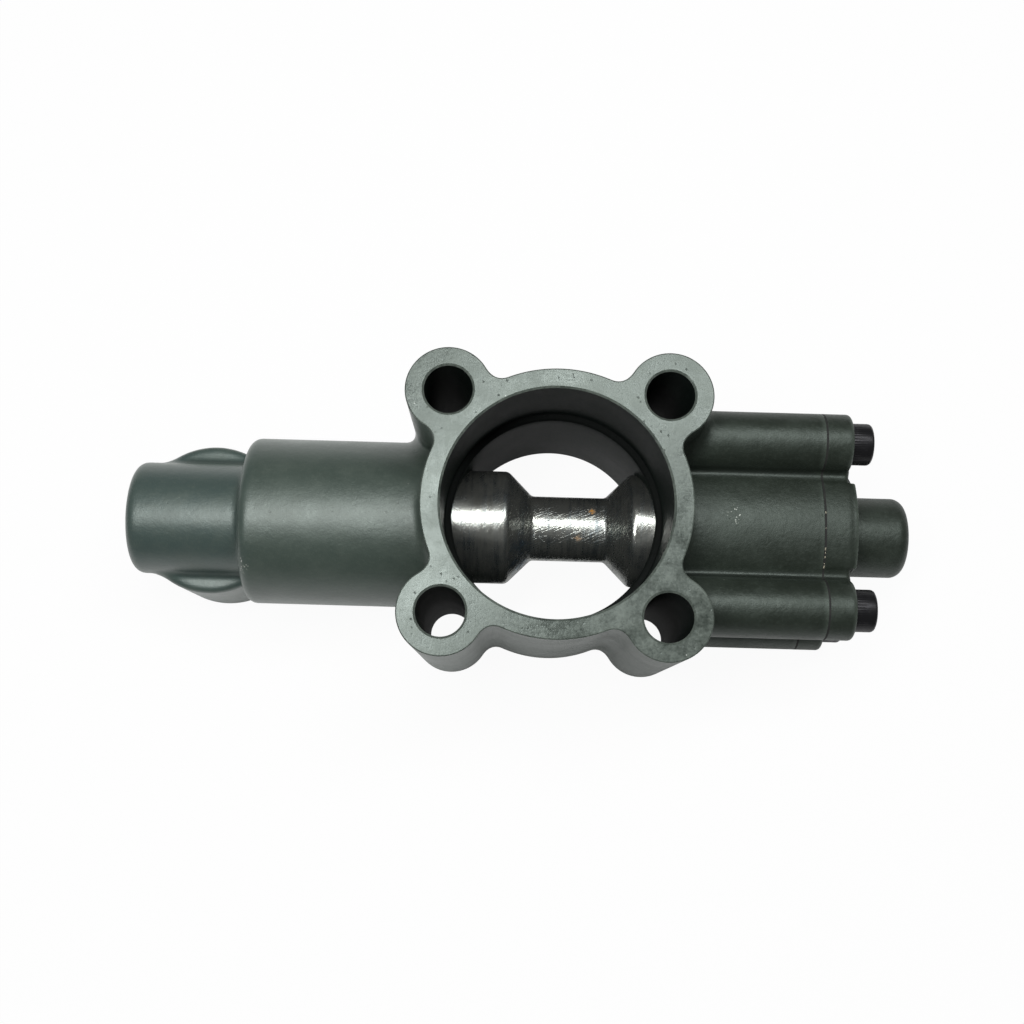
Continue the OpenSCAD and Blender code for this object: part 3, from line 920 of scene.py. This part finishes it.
@dataclass
class Sizes:
    """Sizes that more than one sub-assembly needs."""

    axis_h: float = 26.0
    body_h: float = 64.0
    half_pitch: float = 25.0
    block_end: float = 63.5
    cover_start: float = 64.0
    lobe_face: float = 70.3
    cover_end: float = 71.6
    lobe_face_r: float = 9.7
    screw_seat: float = 69.5
    lobe_y: float = 20.0
    lobe_z: float = 16.0
    lobe_r: float = 7.1
    valley_r: float = 2.0
    block_r: float = 20.0
    land_r: float = 14.0
    bore_gap: float = 0.05
    waist_r: float = 8.0
    waist_left: float = -5.1
    waist_right: float = 13.1
    spigot_bore_r: float = 17.1
    screw_way_r: float = 3.4
    travel: float = 8.0
    crease: float = 38.0

    @property
    def middle(self) -> Point3:
        """Where the axis of the plunger crosses X = 0."""
        return (0.0, 0.0, self.axis_h)

    def lobes(self, start: float, end: float, edge: float) -> Form:
        """Round middle with four lobes, along X.

        Args:
            start: where it starts.
            end: where it ends.
            edge: rounding of its ends.

        Returns:
            The grown form.
        """
        parts: list[Form] = [RoundBar(Axis.X, (0.0, self.axis_h), start, end, self.block_r, edge)]
        for sy in (-1, 1):
            for sz in (-1, 1):
                centre = (sy * self.lobe_y, self.axis_h + sz * self.lobe_z)
                parts.append(RoundBar(Axis.X, centre, start, end, self.lobe_r, edge))
        return Grown(parts, self.valley_r)


SIZES = Sizes()


# casting


@dataclass
class ValveBody:
    """The casting with its machined faces and bores.

    stock is what the rough casting has over its machined ends, past is how far a cutter reaches
    beyond a face, and mouth is the chamfer of the bores.
    """

    finishes: Finishes
    ring_r: float = 30.5
    ear_r: float = 9.8
    neck_r: float = 4.0
    tube_r: float = 20.5
    tube_end: float = -74.8
    nose_r: float = 13.8
    nose_end: float = -103.0
    outlet_x: float = -84.5
    outlet_boss_r: float = 18.5
    outlet_skim_r: float = 24.0
    supply_x: float = -66.0
    supply_boss_r: float = 13.0
    supply_skim_r: float = 15.5
    port_face: float = 2.0
    port_end: float = 14.0
    port_pitch: float = 1.5
    outlet_thread: Point2 = (10.19, 11.0)
    supply_thread: Point2 = (5.19, 6.0)
    way_r: float = 3.0
    way_start: float = 10.0
    ways: Point2 = (-79.5, -64.0)
    pilot_r: float = 26.0
    lower_r: float = 25.0
    draft: float = 1.0
    ledge_z: float = 40.5
    bolt_r: float = 5.5
    filter_r: float = 2.5
    filter_seat: float = -100.6
    vent_r: float = 2.0
    sleeve_bore_r: float = 9.1
    sleeve_bore_end: float = -98.0
    bore_start: float = -57.0
    bore_stop: float = 57.5
    tapped_r: float = 3.1
    tapped_start: float = 42.5
    mouth: float = 0.25
    past: float = 4.0
    stock: float = 3.0
    edge_break: float = 0.25
    edge_drop: float = 0.12

    def form(self) -> Form:
        """The raw casting, with stock on the faces that are machined."""
        low, high = -self.stock, SIZES.body_h + self.stock
        flange_parts: list[Form] = [RoundBar(Axis.Z, (0.0, 0.0), low, high, self.ring_r, 0.5)]
        for sx in (-1, 1):
            for sy in (-1, 1):
                centre = (sx * SIZES.half_pitch, sy * SIZES.half_pitch)
                flange_parts.append(RoundBar(Axis.Z, centre, low, high, self.ear_r, 0.5))
        flange = Grown(flange_parts, self.neck_r)
        line = (0.0, SIZES.axis_h)
        tube = RoundBar(Axis.X, line, self.tube_end, 0.0, self.tube_r, 2.5)
        nose = RoundBar(Axis.X, line, self.nose_end, -50.0, self.nose_r, 2.5)
        outlet, supply = (self.outlet_x, 0.0), (self.supply_x, 0.0)
        boss = RoundBar(Axis.Z, outlet, low, SIZES.axis_h + 1.0, self.outlet_boss_r, 1.6)
        small_boss = RoundBar(Axis.Z, supply, low, SIZES.axis_h, self.supply_boss_r, 2.0)
        left = Grown([Grown([tube, nose], 2.0), boss, small_boss], 1.8)
        block = SIZES.lobes(0.0, SIZES.block_end + self.stock, 0.5)
        return Grown([left, flange, block], 3.0)

    def cutters(self) -> list[bmesh.types.BMesh]:
        """Every bore as a closed solid, grouped so that none of one group touches another of it."""
        top, m, past = SIZES.body_h, self.mouth, self.past
        ledge_r = self.lower_r - (self.ledge_z - m) * math.tan(math.radians(self.draft))
        big = rounded(
            [
                (0.0, -past, 0.0),
                (self.lower_r + m + past, -past, 0.0),
                (self.lower_r, m, 0.0),
                (ledge_r, self.ledge_z, 0.9),
                (self.pilot_r, self.ledge_z, 0.5),
                (self.pilot_r, top - m, 0.0),
                (self.pilot_r + m + past, top + past, 0.0),
                (0.0, top + past, 0.0),
            ]
        )
        bolt = [(0.0, -past), (self.bolt_r + m + past, -past), (self.bolt_r, m)]
        bolt += [(self.bolt_r, top - m), (self.bolt_r + m + past, top + past), (0.0, top + past)]
        corners = [(sx * SIZES.half_pitch, sy * SIZES.half_pitch, 0.0) for sx in (-1, 1) for sy in (-1, 1)]
        bore_r = SIZES.land_r + SIZES.bore_gap
        along = [
            (0.0, self.nose_end - 3.0),
            (self.filter_r, self.nose_end - 3.0),
            (self.filter_r, self.filter_seat),
            (self.vent_r, self.filter_seat),
            (self.vent_r, self.sleeve_bore_end),
            (self.sleeve_bore_r, self.sleeve_bore_end),
            (self.sleeve_bore_r, self.bore_start),
            (bore_r, self.bore_start),
            (bore_r, self.bore_stop),
            (SIZES.spigot_bore_r, self.bore_stop),
            (SIZES.spigot_bore_r, SIZES.block_end + 2.5),
            (0.0, SIZES.block_end + 2.5),
        ]
        tapped = plug(self.tapped_r, self.tapped_start, SIZES.block_end + 3.5)
        way = plug(self.way_r, self.way_start, SIZES.axis_h)
        face, end, pitch = self.port_face, self.port_end, self.port_pitch
        outlet, supply = (self.outlet_x, 0.0, 0.0), (self.supply_x, 0.0, 0.0)
        return [
            turned(plug(self.outlet_skim_r, -8.0, face), Axis.Z, outlet, 48),
            turned(plug(self.supply_skim_r, -8.0, face), Axis.Z, supply, 48),
            turned(big, Axis.Z, (0.0, 0.0, 0.0), 192),
            joined(turned(bolt, Axis.Z, place, 96) for place in corners),
            turned(along, Axis.X, SIZES.middle, 128),
            joined(turned(tapped, Axis.X, place, 32) for place in lobe_places()),
            turned(thread_bore(*self.outlet_thread, pitch, face, end), Axis.Z, outlet, 96),
            turned(thread_bore(*self.supply_thread, pitch, face, end), Axis.Z, supply, 64),
            joined(turned(way, Axis.Z, (x, 0.0, 0.0), 32) for x in self.ways),
        ]

    def build(self) -> bpy.types.Object:
        """Makes the casting and gives its faces their finishes.

        Returns:
            The piece.
        """
        top = SIZES.body_h
        flats = [
            (Vector((0, 0, top)), Vector((0, 0, 1))),
            (Vector((0, 0, 0)), Vector((0, 0, -1))),
            (Vector((SIZES.block_end, 0, 0)), Vector((1, 0, 0))),
        ]
        piece = CastPiece("valve_casting", self.form(), 0.8, flats).build()
        cut(piece, self.cutters())
        self._break_edges(piece.data)
        mark_bend(piece.data, 1.6)
        self._dress(piece)
        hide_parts("valve_body")
        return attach(piece, BODY_HOUSING)

    def _break_edges(self, mesh: bpy.types.Mesh) -> None:
        """Breaks the edges of the upper and lower faces with a narrow slope."""
        bm = bmesh.new()
        bm.from_mesh(mesh)
        for level, inward in ((SIZES.body_h, -1.0), (0.0, 1.0)):
            flat = [
                face
                for face in bm.faces
                if abs(face.normal.z) > 0.999 and abs(face.calc_center_median().z / MM - level) < 0.01
            ]
            width = self.edge_break * MM
            slope = bmesh.ops.inset_region(bm, faces=flat, thickness=width, use_even_offset=True)["faces"]
            inner = {vert for face in flat for vert in face.verts}
            rim = {vert for face in slope for vert in face.verts} - inner
            for vert in rim:
                vert.co.z += inward * self.edge_drop * MM
        bm.to_mesh(mesh)
        bm.free()

    def _dress(self, piece: bpy.types.Object) -> None:
        """Gives each face the cast, milled or bored finish, and smooth shading with sharp creases and flat
        upper and lower faces.
        """
        mesh = piece.data
        coat(piece, self.finishes.cast, self.finishes.milled, self.finishes.bored)
        smooth_by_angle(mesh, SIZES.crease)
        self._keep_flats(mesh)
        count = len(mesh.polygons)
        centres, normals = np.zeros(count * 3), np.zeros(count * 3)
        mesh.polygons.foreach_get("center", centres)
        mesh.polygons.foreach_get("normal", normals)
        centres, normals = centres.reshape(-1, 3) / MM, normals.reshape(-1, 3)
        x, y, z = centres.T
        index = np.zeros(count, dtype=np.int32)
        near = self.mouth + 0.01
        milled = (np.abs(normals[:, 2]) > 0.6) & ((z > SIZES.body_h - near) | (z < near))
        milled |= (normals[:, 2] < -0.999) & (np.abs(z - self.port_face) < 0.01)
        milled |= (normals[:, 0] > 0.999) & (x > SIZES.block_end - 0.01)
        in_big = np.hypot(x, y) < self.pilot_r + 0.02
        from_bolt = np.hypot(np.abs(x) - SIZES.half_pitch, np.abs(y) - SIZES.half_pitch)
        in_bolt = from_bolt < self.bolt_r + 0.4
        out = np.hypot(y, z - SIZES.axis_h)
        bore_r = np.where(x < self.bore_start - 0.1, self.sleeve_bore_r + 0.2, SIZES.land_r + 0.1)
        in_main = (x > self.sleeve_bore_end - 0.1) & (out < bore_r)
        in_main |= (x > self.bore_stop - 0.1) & (out < SIZES.spigot_bore_r + 0.1)
        in_port = (np.hypot(x - self.outlet_x, y) < self.outlet_thread[1] + 0.6) & (z < self.port_end + 1.0)
        index[in_big | in_bolt | in_main | in_port] = 2
        index[milled] = 1
        mesh.polygons.foreach_set("material_index", index)

    @staticmethod
    def _keep_flats(mesh: bpy.types.Mesh) -> None:
        """Marks the edges around the upper and lower face sharp, so that both shade flat."""
        bm = bmesh.new()
        bm.from_mesh(mesh)
        for edge in bm.edges:
            height = sum(vert.co.z for vert in edge.verts) / 2 / MM
            if min(abs(height - SIZES.body_h), abs(height)) > 0.3:
                continue
            level = [abs(face.normal.z) > 0.9999 for face in edge.link_faces]
            if any(level) and not all(level):
                edge.smooth = False
        bm.to_mesh(mesh)
        bm.free()


def lobe_places() -> list[Point3]:
    """The four lobe axes, at X = 0."""
    return [(0.0, sy * SIZES.lobe_y, SIZES.axis_h + sz * SIZES.lobe_z) for sy in (-1, 1) for sz in (-1, 1)]


def thread_bore(minor: float, major: float, pitch: float, face: float, end: float) -> list[Point2]:
    """Profile of a threaded port, with its countersunk mouth below the face.

    Args:
        minor: radius of the thread's crests.
        major: radius of its roots.
        pitch: distance between crests.
        face: height of the port's face.
        end: height of the bottom.

    Returns:
        Radius and height of the corners.
    """
    lead = (major + 0.5) - minor
    profile = [(0.0, face - 4.0), (major + 4.5, face - 4.0), (minor, face + lead)]
    z = face + lead + 0.2
    while z + pitch < end - 1.0:
        profile += [(minor, z), (major, z + pitch * 0.45)]
        profile += [(major, z + pitch * 0.55), (minor, z + pitch * 0.95)]
        z += pitch
    return profile + [(minor, end), (0.0, end)]


@dataclass
class EndCover:
    """Cover plate with its stub, the gasket under it and the sealant pressed out."""

    finishes: Finishes
    stub_r: float = 9.85
    stub_end: float = 87.0
    stub_wall: float = 5.0
    spigot_start: float = 57.6
    spigot_r: float = 17.0
    bush_hole_r: float = 7.55
    spot_r: float = 5.8
    gasket_inset: float = 0.35
    crumbs: int = 26

    def build(self) -> list[bpy.types.Object]:
        """Makes the cover, the gasket and the sealant.

        Returns:
            The pieces.
        """
        cover, outline = self._cover()
        return [cover, self._gasket(outline), self._sealant()]

    def _cover(self) -> tuple[bpy.types.Object, list[Vector]]:
        """The cover, and the outline of its inner face in millimetres."""
        line = (0.0, SIZES.axis_h)
        plate = SIZES.lobes(SIZES.cover_start - 3.0, SIZES.lobe_face, 1.0)
        middle = RoundBar(Axis.X, line, SIZES.cover_start - 2.5, SIZES.cover_end, SIZES.block_r, 0.5)
        raised = Carved(middle, [place[1:] for place in lobe_places()], SIZES.lobe_face_r, 0.5)
        stub = RoundBar(Axis.X, line, SIZES.cover_start - 2.0, self.stub_end, self.stub_r, 3.0)
        flats = [(Vector((SIZES.cover_start, 0, 0)), Vector((-1, 0, 0)))]
        piece = CastPiece("cover_casting", Grown([plate, raised, stub], 0.6), 0.42, flats).build()
        bm = bmesh.new()
        bm.from_mesh(piece.data)
        back = max((f for f in bm.faces if f.normal.x < -0.99), key=lambda f: f.calc_area())
        outline = [v.co / MM for v in back.verts]
        bm.free()
        spigot = plug(self.spigot_r, self.spigot_start, SIZES.cover_start + 1.0)
        tool = as_object(turned(spigot, Axis.X, SIZES.middle, 128), "spigot")
        weld = piece.modifiers.new("weld", "BOOLEAN")
        weld.operation = "UNION"
        weld.solver = "MANIFOLD"
        weld.object = tool
        apply_modifiers(piece)
        bpy.data.objects.remove(tool)
        hole = plug(self.bush_hole_r, 50.0, self.stub_end - self.stub_wall)
        way, seat, spot = SIZES.screw_way_r, SIZES.screw_seat, self.spot_r
        screw = [(0.0, 60.0), (way, 60.0), (way, seat), (spot, seat), (spot, 76.0), (0.0, 76.0)]
        ways = joined(turned(screw, Axis.X, place, 48) for place in lobe_places())
        cut(piece, [turned(hole, Axis.X, SIZES.middle, 64), ways])
        coat(piece, self.finishes.cast)
        smooth_by_angle(piece.data, SIZES.crease)
        mark_bend(piece.data, 1.2)
        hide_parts("end_cover")
        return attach(piece, BODY_HOUSING), outline

    def _gasket(self, outline: list[Vector]) -> bpy.types.Object:
        """The gasket, set in a little from the outline of the cover."""
        bm = bmesh.new()
        face = bm.faces.new([bm.verts.new((SIZES.cover_start, p.y, p.z)) for p in outline])
        bmesh.ops.inset_region(bm, faces=[face], thickness=self.gasket_inset, use_even_offset=True)
        bmesh.ops.delete(bm, geom=[f for f in bm.faces if f is not face], context="FACES")
        raised = bmesh.ops.extrude_face_region(bm, geom=[face])
        verts = [g for g in raised["geom"] if isinstance(g, bmesh.types.BMVert)]
        bmesh.ops.translate(bm, vec=(SIZES.block_end - SIZES.cover_start, 0, 0), verts=verts)
        bmesh.ops.recalc_face_normals(bm, faces=bm.faces)
        piece = as_object(bm, "joint_gasket")
        hole = plug(SIZES.spigot_bore_r, 60.0, 67.0)
        screw = plug(SIZES.screw_way_r, 60.0, 67.0)
        ways = joined(turned(screw, Axis.X, place, 32) for place in lobe_places())
        cut(piece, [turned(hole, Axis.X, SIZES.middle, 96), ways])
        coat(piece, self.finishes.gasket)
        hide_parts("cover_gasket")
        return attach(piece, BODY_HOUSING)

    def _sealant(self) -> bpy.types.Object:
        """Crumbs of sealant along the joint."""
        rng = np.random.default_rng(7)
        bm = bmesh.new()
        middle = (SIZES.block_end + SIZES.cover_start) / 2
        for _ in range(self.crumbs):
            turn = math.radians(float(rng.uniform(-9.0, 33.0)))
            size = float(rng.uniform(0.25, 0.6))
            out = SIZES.block_r + 0.05
            centre = Vector((middle, -math.sin(turn) * out, SIZES.axis_h + math.cos(turn) * out))
            crumb = bmesh.ops.create_icosphere(bm, subdivisions=2, radius=size / 2)["verts"]
            for vert in crumb:
                vert.co *= 1.0 + 0.4 * float(rng.random() - 0.5)
            bmesh.ops.scale(bm, vec=(0.8, 1.9, 0.6), verts=crumb)
            bmesh.ops.rotate(bm, matrix=Matrix.Rotation(turn, 3, "X"), verts=crumb)
            bmesh.ops.translate(bm, vec=centre, verts=crumb)
        piece = as_object(bm, "sealant_crumbs")
        coat(piece, self.finishes.sealant)
        smooth_by_angle(piece.data, 60.0)
        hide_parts("sealant_squeeze")
        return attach(piece, BODY_HOUSING)


@dataclass
class CoverScrews:
    """Four socket head screws with knurled heads."""

    finishes: Finishes
    head_r: float = 5.0
    head_h: float = 6.0
    shank_r: float = 3.0
    length: float = 25.0
    key: float = 5.0
    key_depth: float = 3.0
    ribs: int = 54
    rib_depth: float = 0.014

    def build(self) -> bpy.types.Object:
        """Makes the four screws as one piece.

        Returns:
            The piece.
        """
        seat = SIZES.screw_seat
        screws = joined(self._screw(place) for place in lobe_places())
        piece = as_object(screws, "cover_screw_set")
        across = self.key / math.sqrt(3.0)
        socket = plug(across, seat + self.head_h - self.key_depth, seat + 9.0)
        cut(piece, [joined(turned(socket, Axis.X, place, 6) for place in lobe_places())])
        coat(piece, self.finishes.black)
        smooth_by_angle(piece.data, 25.0)
        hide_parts("cover_screws")
        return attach(piece, BODY_HOUSING)

    def _screw(self, place: Sequence[float]) -> bmesh.types.BMesh:
        """One screw with a rounded, ribbed head.

        Args:
            place: where its axis crosses X = 0.

        Returns:
            The screw.
        """
        seat, top, r = SIZES.screw_seat, SIZES.screw_seat + self.head_h, self.head_r
        profile = [
            (0.0, seat - self.length),
            (self.shank_r - 0.5, seat - self.length),
            (self.shank_r, seat - self.length + 0.5),
            (self.shank_r, seat + 0.05),
            (r - 0.15, seat + 0.05),
            (r, seat + 0.2),
            (r, top - 0.9),
            (r - 0.08, top - 0.55),
            (r - 0.30, top - 0.22),
            (r - 0.62, top - 0.05),
            (r - 0.95, top),
            (0.0, top),
        ]
        bm = turned(profile, Axis.X, place, self.ribs * 2)
        low, high = seat + 0.15, top - 0.8
        for vert in bm.verts:
            y, z = vert.co.y - place[1], vert.co.z - place[2]
            if low < vert.co.x < high and math.hypot(y, z) > r - 0.05:
                turn = round(math.atan2(z, y) / TURN * self.ribs * 2)
                if turn % 2:
                    vert.co.y = place[1] + y * (1 - self.rib_depth)
                    vert.co.z = place[2] + z * (1 - self.rib_depth)
        return bm


@dataclass
class ShiftPlunger:
    """Plunger with its lands, waist, spring pocket and tail."""

    finishes: Finishes
    left_end: float = -36.0
    right_end: float = 54.9
    tail_end: float = 76.9
    tail_r: float = 6.0
    cone: float = 6.0
    edge: float = 0.35
    shoulder: float = 2.2
    root: float = 1.6
    hole_r: float = 3.05
    hole_end: float = -13.5
    pocket_r: float = 9.75
    pocket_end: float = -26.0
    ring_depth: float = 1.5
    seal_depth: float = 2.0
    seal_w: float = 3.0
    ring_w: float = 4.1

    def build(self) -> list[bpy.types.Object]:
        """Makes the plunger.

        Returns:
            The pieces.
        """
        r, w, e = SIZES.land_r, SIZES.waist_r, self.edge
        wl, wr, c = SIZES.waist_left, SIZES.waist_right, self.cone
        corners: list[Point3] = [
            (0.0, self.hole_end, 0.0),
            (self.hole_r, self.hole_end, 0.0),
            (self.hole_r, self.pocket_end, 0.0),
            (self.pocket_r, self.pocket_end, 0.0),
            (self.pocket_r, self.left_end, e),
            (r, self.left_end, e),
            *self._groove(-34.5, self.seal_w, self.seal_depth),
            *self._groove(-30.45, self.ring_w, self.ring_depth),
            (r, wl - c, self.shoulder),
            (w, wl, self.root),
            (w, wr, self.root),
            (r, wr + c, self.shoulder),
            *self._groove(36.45, self.ring_w, self.ring_depth),
            *self._groove(42.5, self.seal_w, self.seal_depth),
            (r, self.right_end, e),
            (self.tail_r, self.right_end, 0.0),
            (self.tail_r, self.tail_end - 1.0, 0.0),
            (self.tail_r - 1.0, self.tail_end, 0.0),
            (0.0, self.tail_end, 0.0),
        ]
        profile = rounded(corners, 8)
        piece = as_object(turned(profile, Axis.X, SIZES.middle, 144), "plunger_bar")
        coat(piece, self.finishes.steel)
        smooth_by_angle(piece.data, 32.0)
        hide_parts("shift_plunger")
        return [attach(piece, BODY_PLUNGER)]

    @staticmethod
    def _groove(start: float, width: float, depth: float) -> list[Point3]:
        """Corners of a groove in a land, which are left sharp."""
        land, floor = SIZES.land_r, SIZES.land_r - depth
        end = start + width
        return [(land, start, 0.0), (floor, start, 0.0), (floor, end, 0.0), (land, end, 0.0)]


@dataclass
class AirWorks:
    """What is inside: spring, spool, sleeve, seals and rings."""

    finishes: Finishes
    spring_start: float = -54.0
    spring_end: float = -27.0
    wire: float = 1.8
    mean_r: float = 8.3
    free_turns: float = 4.5
    steps_a_turn: int = 36

    def build(self) -> list[bpy.types.Object]:
        """Makes the spring and dresses the inner pieces.

        Returns:
            The spring.
        """
        f = self.finishes
        dressing = {
            "stop_washer": f.polymer,
            "tail_bush": f.bronze,
            "plunger_seal_left": f.rubber,
            "plunger_seal_right": f.rubber,
            "guide_ring_left": f.polymer,
            "guide_ring_right": f.polymer,
            "valve_spool": f.clean_steel,
            "spool_seal": f.rubber,
            "spool_lock_nut": f.plated,
            "spring_seat_washer": f.plated,
            "valve_sleeve": f.bronze,
            "sleeve_o_rings": f.rubber,
            "stem_seal": f.rubber,
            "vent_filter": f.porous,
        }
        for name, material in dressing.items():
            coat(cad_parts[name], material)
        return [self._spring()]

    def _spring(self) -> bpy.types.Object:
        """The coil with one closed turn at each end."""
        bm = bmesh.new()
        ring = bmesh.ops.create_circle(bm, cap_ends=True, radius=self.wire / 2, segments=12)["verts"]
        bmesh.ops.rotate(bm, matrix=Matrix.Rotation(math.radians(90), 3, "X"), verts=ring)
        bmesh.ops.translate(bm, vec=(self.mean_r, 0.0, self.wire / 2), verts=ring)
        free = self.spring_end - self.spring_start - 3 * self.wire
        geom = bm.verts[:] + bm.edges[:] + bm.faces[:]
        for turns, rise in ((1.0, self.wire), (self.free_turns, free), (1.0, self.wire)):
            steps = int(self.steps_a_turn * turns)
            out = bmesh.ops.spin(
                bm,
                geom=geom,
                cent=(0, 0, 0),
                axis=(0, 0, 1),
                dvec=(0, 0, rise / steps),
                angle=TURN * turns,
                steps=steps,
                use_merge=False,
            )
            geom = out["geom_last"]
        bmesh.ops.remove_doubles(bm, verts=bm.verts, dist=1e-5)
        matrix = Matrix.Translation((self.spring_start, 0.0, SIZES.axis_h)) @ Axis.X.value
        bmesh.ops.transform(bm, matrix=matrix, verts=bm.verts)
        bmesh.ops.recalc_face_normals(bm, faces=bm.faces)
        piece = as_object(bm, "spring_coil")
        coat(piece, self.finishes.wire)
        smooth_by_angle(piece.data, 60.0)
        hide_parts("return_spring")
        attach(piece, BODY_HOUSING)
        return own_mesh(piece)


# studio


@dataclass(frozen=True)
class SoftBox:
    """One long soft box, in millimetres.

    turn is the direction of its long side in degrees from +X, and glow is how bright its face is.
    """

    name: str
    place: Point3
    target: Point3
    size: Point2
    turn: float
    glow: float

    def hang(self) -> None:
        """Adds the lamp to the scene."""
        data = bpy.data.lights.new(self.name, "AREA")
        data.shape = "RECTANGLE"
        data.size, data.size_y = self.size[0] * MM, self.size[1] * MM
        data.energy = self.glow * math.pi * data.size * data.size_y
        back = (Vector(self.place) - Vector(self.target)).normalized()
        along = Vector((math.cos(math.radians(self.turn)), math.sin(math.radians(self.turn)), 0.0))
        along = (along - back * along.dot(back)).normalized()
        basis = Matrix((along, back.cross(along), back)).transposed()
        lamp = bpy.data.objects.new(self.name, data)
        lamp.matrix_world = Matrix.Translation(Vector(self.place) * MM) @ basis.to_4x4()
        bpy.context.scene.collection.objects.link(lamp)


@dataclass
class Studio:
    """Floor, lamps, world and the camera of the photograph.

    white is how white the floor looks to each kind of ray, and the camera's sizes are as fitted.
    """

    focal_px: float = 1313.49
    image_px: int = 1024
    roll: float = -1.62
    tilt: float = -9.91
    yaw: float = -0.06
    shift: Point3 = (9.87, -3.21, -321.93)
    target_z: float = 32.0
    sensor_w: float = 36.0
    floor_half: float = 3000.0
    floor_z: float = -0.3
    room_glow: float = 0.12
    white: tuple[tuple[str, float], ...] = (
        ("Is Camera Ray", 0.95),
        ("Is Glossy Ray", 0.2),
        ("Is Transmission Ray", 0.2),
    )
    lamps: tuple[SoftBox, ...] = (
        SoftBox("softbox_left", (-109.0, 33.0, 600.0), (-30.0, 0.0, 30.0), (430.0, 115.0), 46.5, 17.0),
        SoftBox("softbox_right", (172.0, 205.0, 600.0), (30.0, 0.0, 30.0), (200.0, 120.0), 0.0, 14.5),
    )

    def build(self) -> None:
        """Makes everything around the object."""
        self._floor()
        self._world()
        for lamp in self.lamps:
            lamp.hang()
        self._camera()
        bpy.context.scene.view_settings.view_transform = "Standard"

    def _floor(self) -> None:
        """A plain pale floor that keeps a soft shadow and shows white to the camera."""
        bm = bmesh.new()
        bmesh.ops.create_grid(bm, x_segments=1, y_segments=1, size=self.floor_half)
        bmesh.ops.translate(bm, vec=(0, 0, self.floor_z), verts=bm.verts)
        floor = as_object(bm, "floor")
        book = NodeBook("pale_floor")
        matt = book.node("ShaderNodeBsdfDiffuse", {}, {"Color": (0.86, 0.86, 0.86)})
        white = book.node("ShaderNodeEmission", {}, {"Color": (1.0, 1.0, 1.0), "Strength": 1.0})
        seen: Union[Wire, Number] = 0.0
        for path, share in self.white:
            seen = book.node("ShaderNodeLightPath", {}, {}, path) * share + seen
        both = book.node("ShaderNodeMixShader", {}, {0: seen.at_most(1.0), 1: matt, 2: white})
        book.node("ShaderNodeOutputMaterial", {}, {"Surface": both})
        coat(floor, book.material)

    def _world(self) -> None:
        """Pale surroundings."""
        world = bpy.data.worlds.new("pale_room")
        bpy.context.scene.world = world
        world.use_nodes = True
        back = world.node_tree.nodes["Background"]
        back.inputs["Color"].default_value = (1.0, 1.0, 1.0, 1.0)
        back.inputs["Strength"].default_value = self.room_glow

    def _camera(self) -> None:
        """The camera as fitted to the bolt holes, the bore and the ears."""
        turn = (
            Matrix.Rotation(math.radians(self.roll), 3, "Z")
            @ Matrix.Rotation(math.radians(self.tilt), 3, "X")
            @ Matrix.Rotation(math.radians(self.yaw), 3, "Y")
        )
        back = turn.transposed()
        place = Vector((0.0, 0.0, self.target_z)) - back @ Vector(self.shift)
        data = bpy.data.cameras.new("photo_camera")
        data.sensor_width = self.sensor_w
        data.lens = self.sensor_w * self.focal_px / self.image_px
        data.clip_start, data.clip_end = 0.01, 20.0
        camera = bpy.data.objects.new("photo_camera", data)
        camera.matrix_world = Matrix.Translation(place * MM) @ back.to_4x4()
        bpy.context.scene.collection.objects.link(camera)
        bpy.context.scene.camera = camera


def main() -> None:
    """Builds the valve and its surroundings."""
    logging.basicConfig(level=logging.INFO, format="%(message)s")
    finishes = Finishes()
    made: list[bpy.types.Object] = [ValveBody(finishes).build()]
    made += EndCover(finishes).build()
    made.append(CoverScrews(finishes).build())
    made += ShiftPlunger(finishes).build()
    made += AirWorks(finishes).build()
    for piece in made:
        LOG.info("%s: %d faces", piece.name, len(piece.data.polygons))
    Studio().build()


if __name__ == "__main__":
    main()
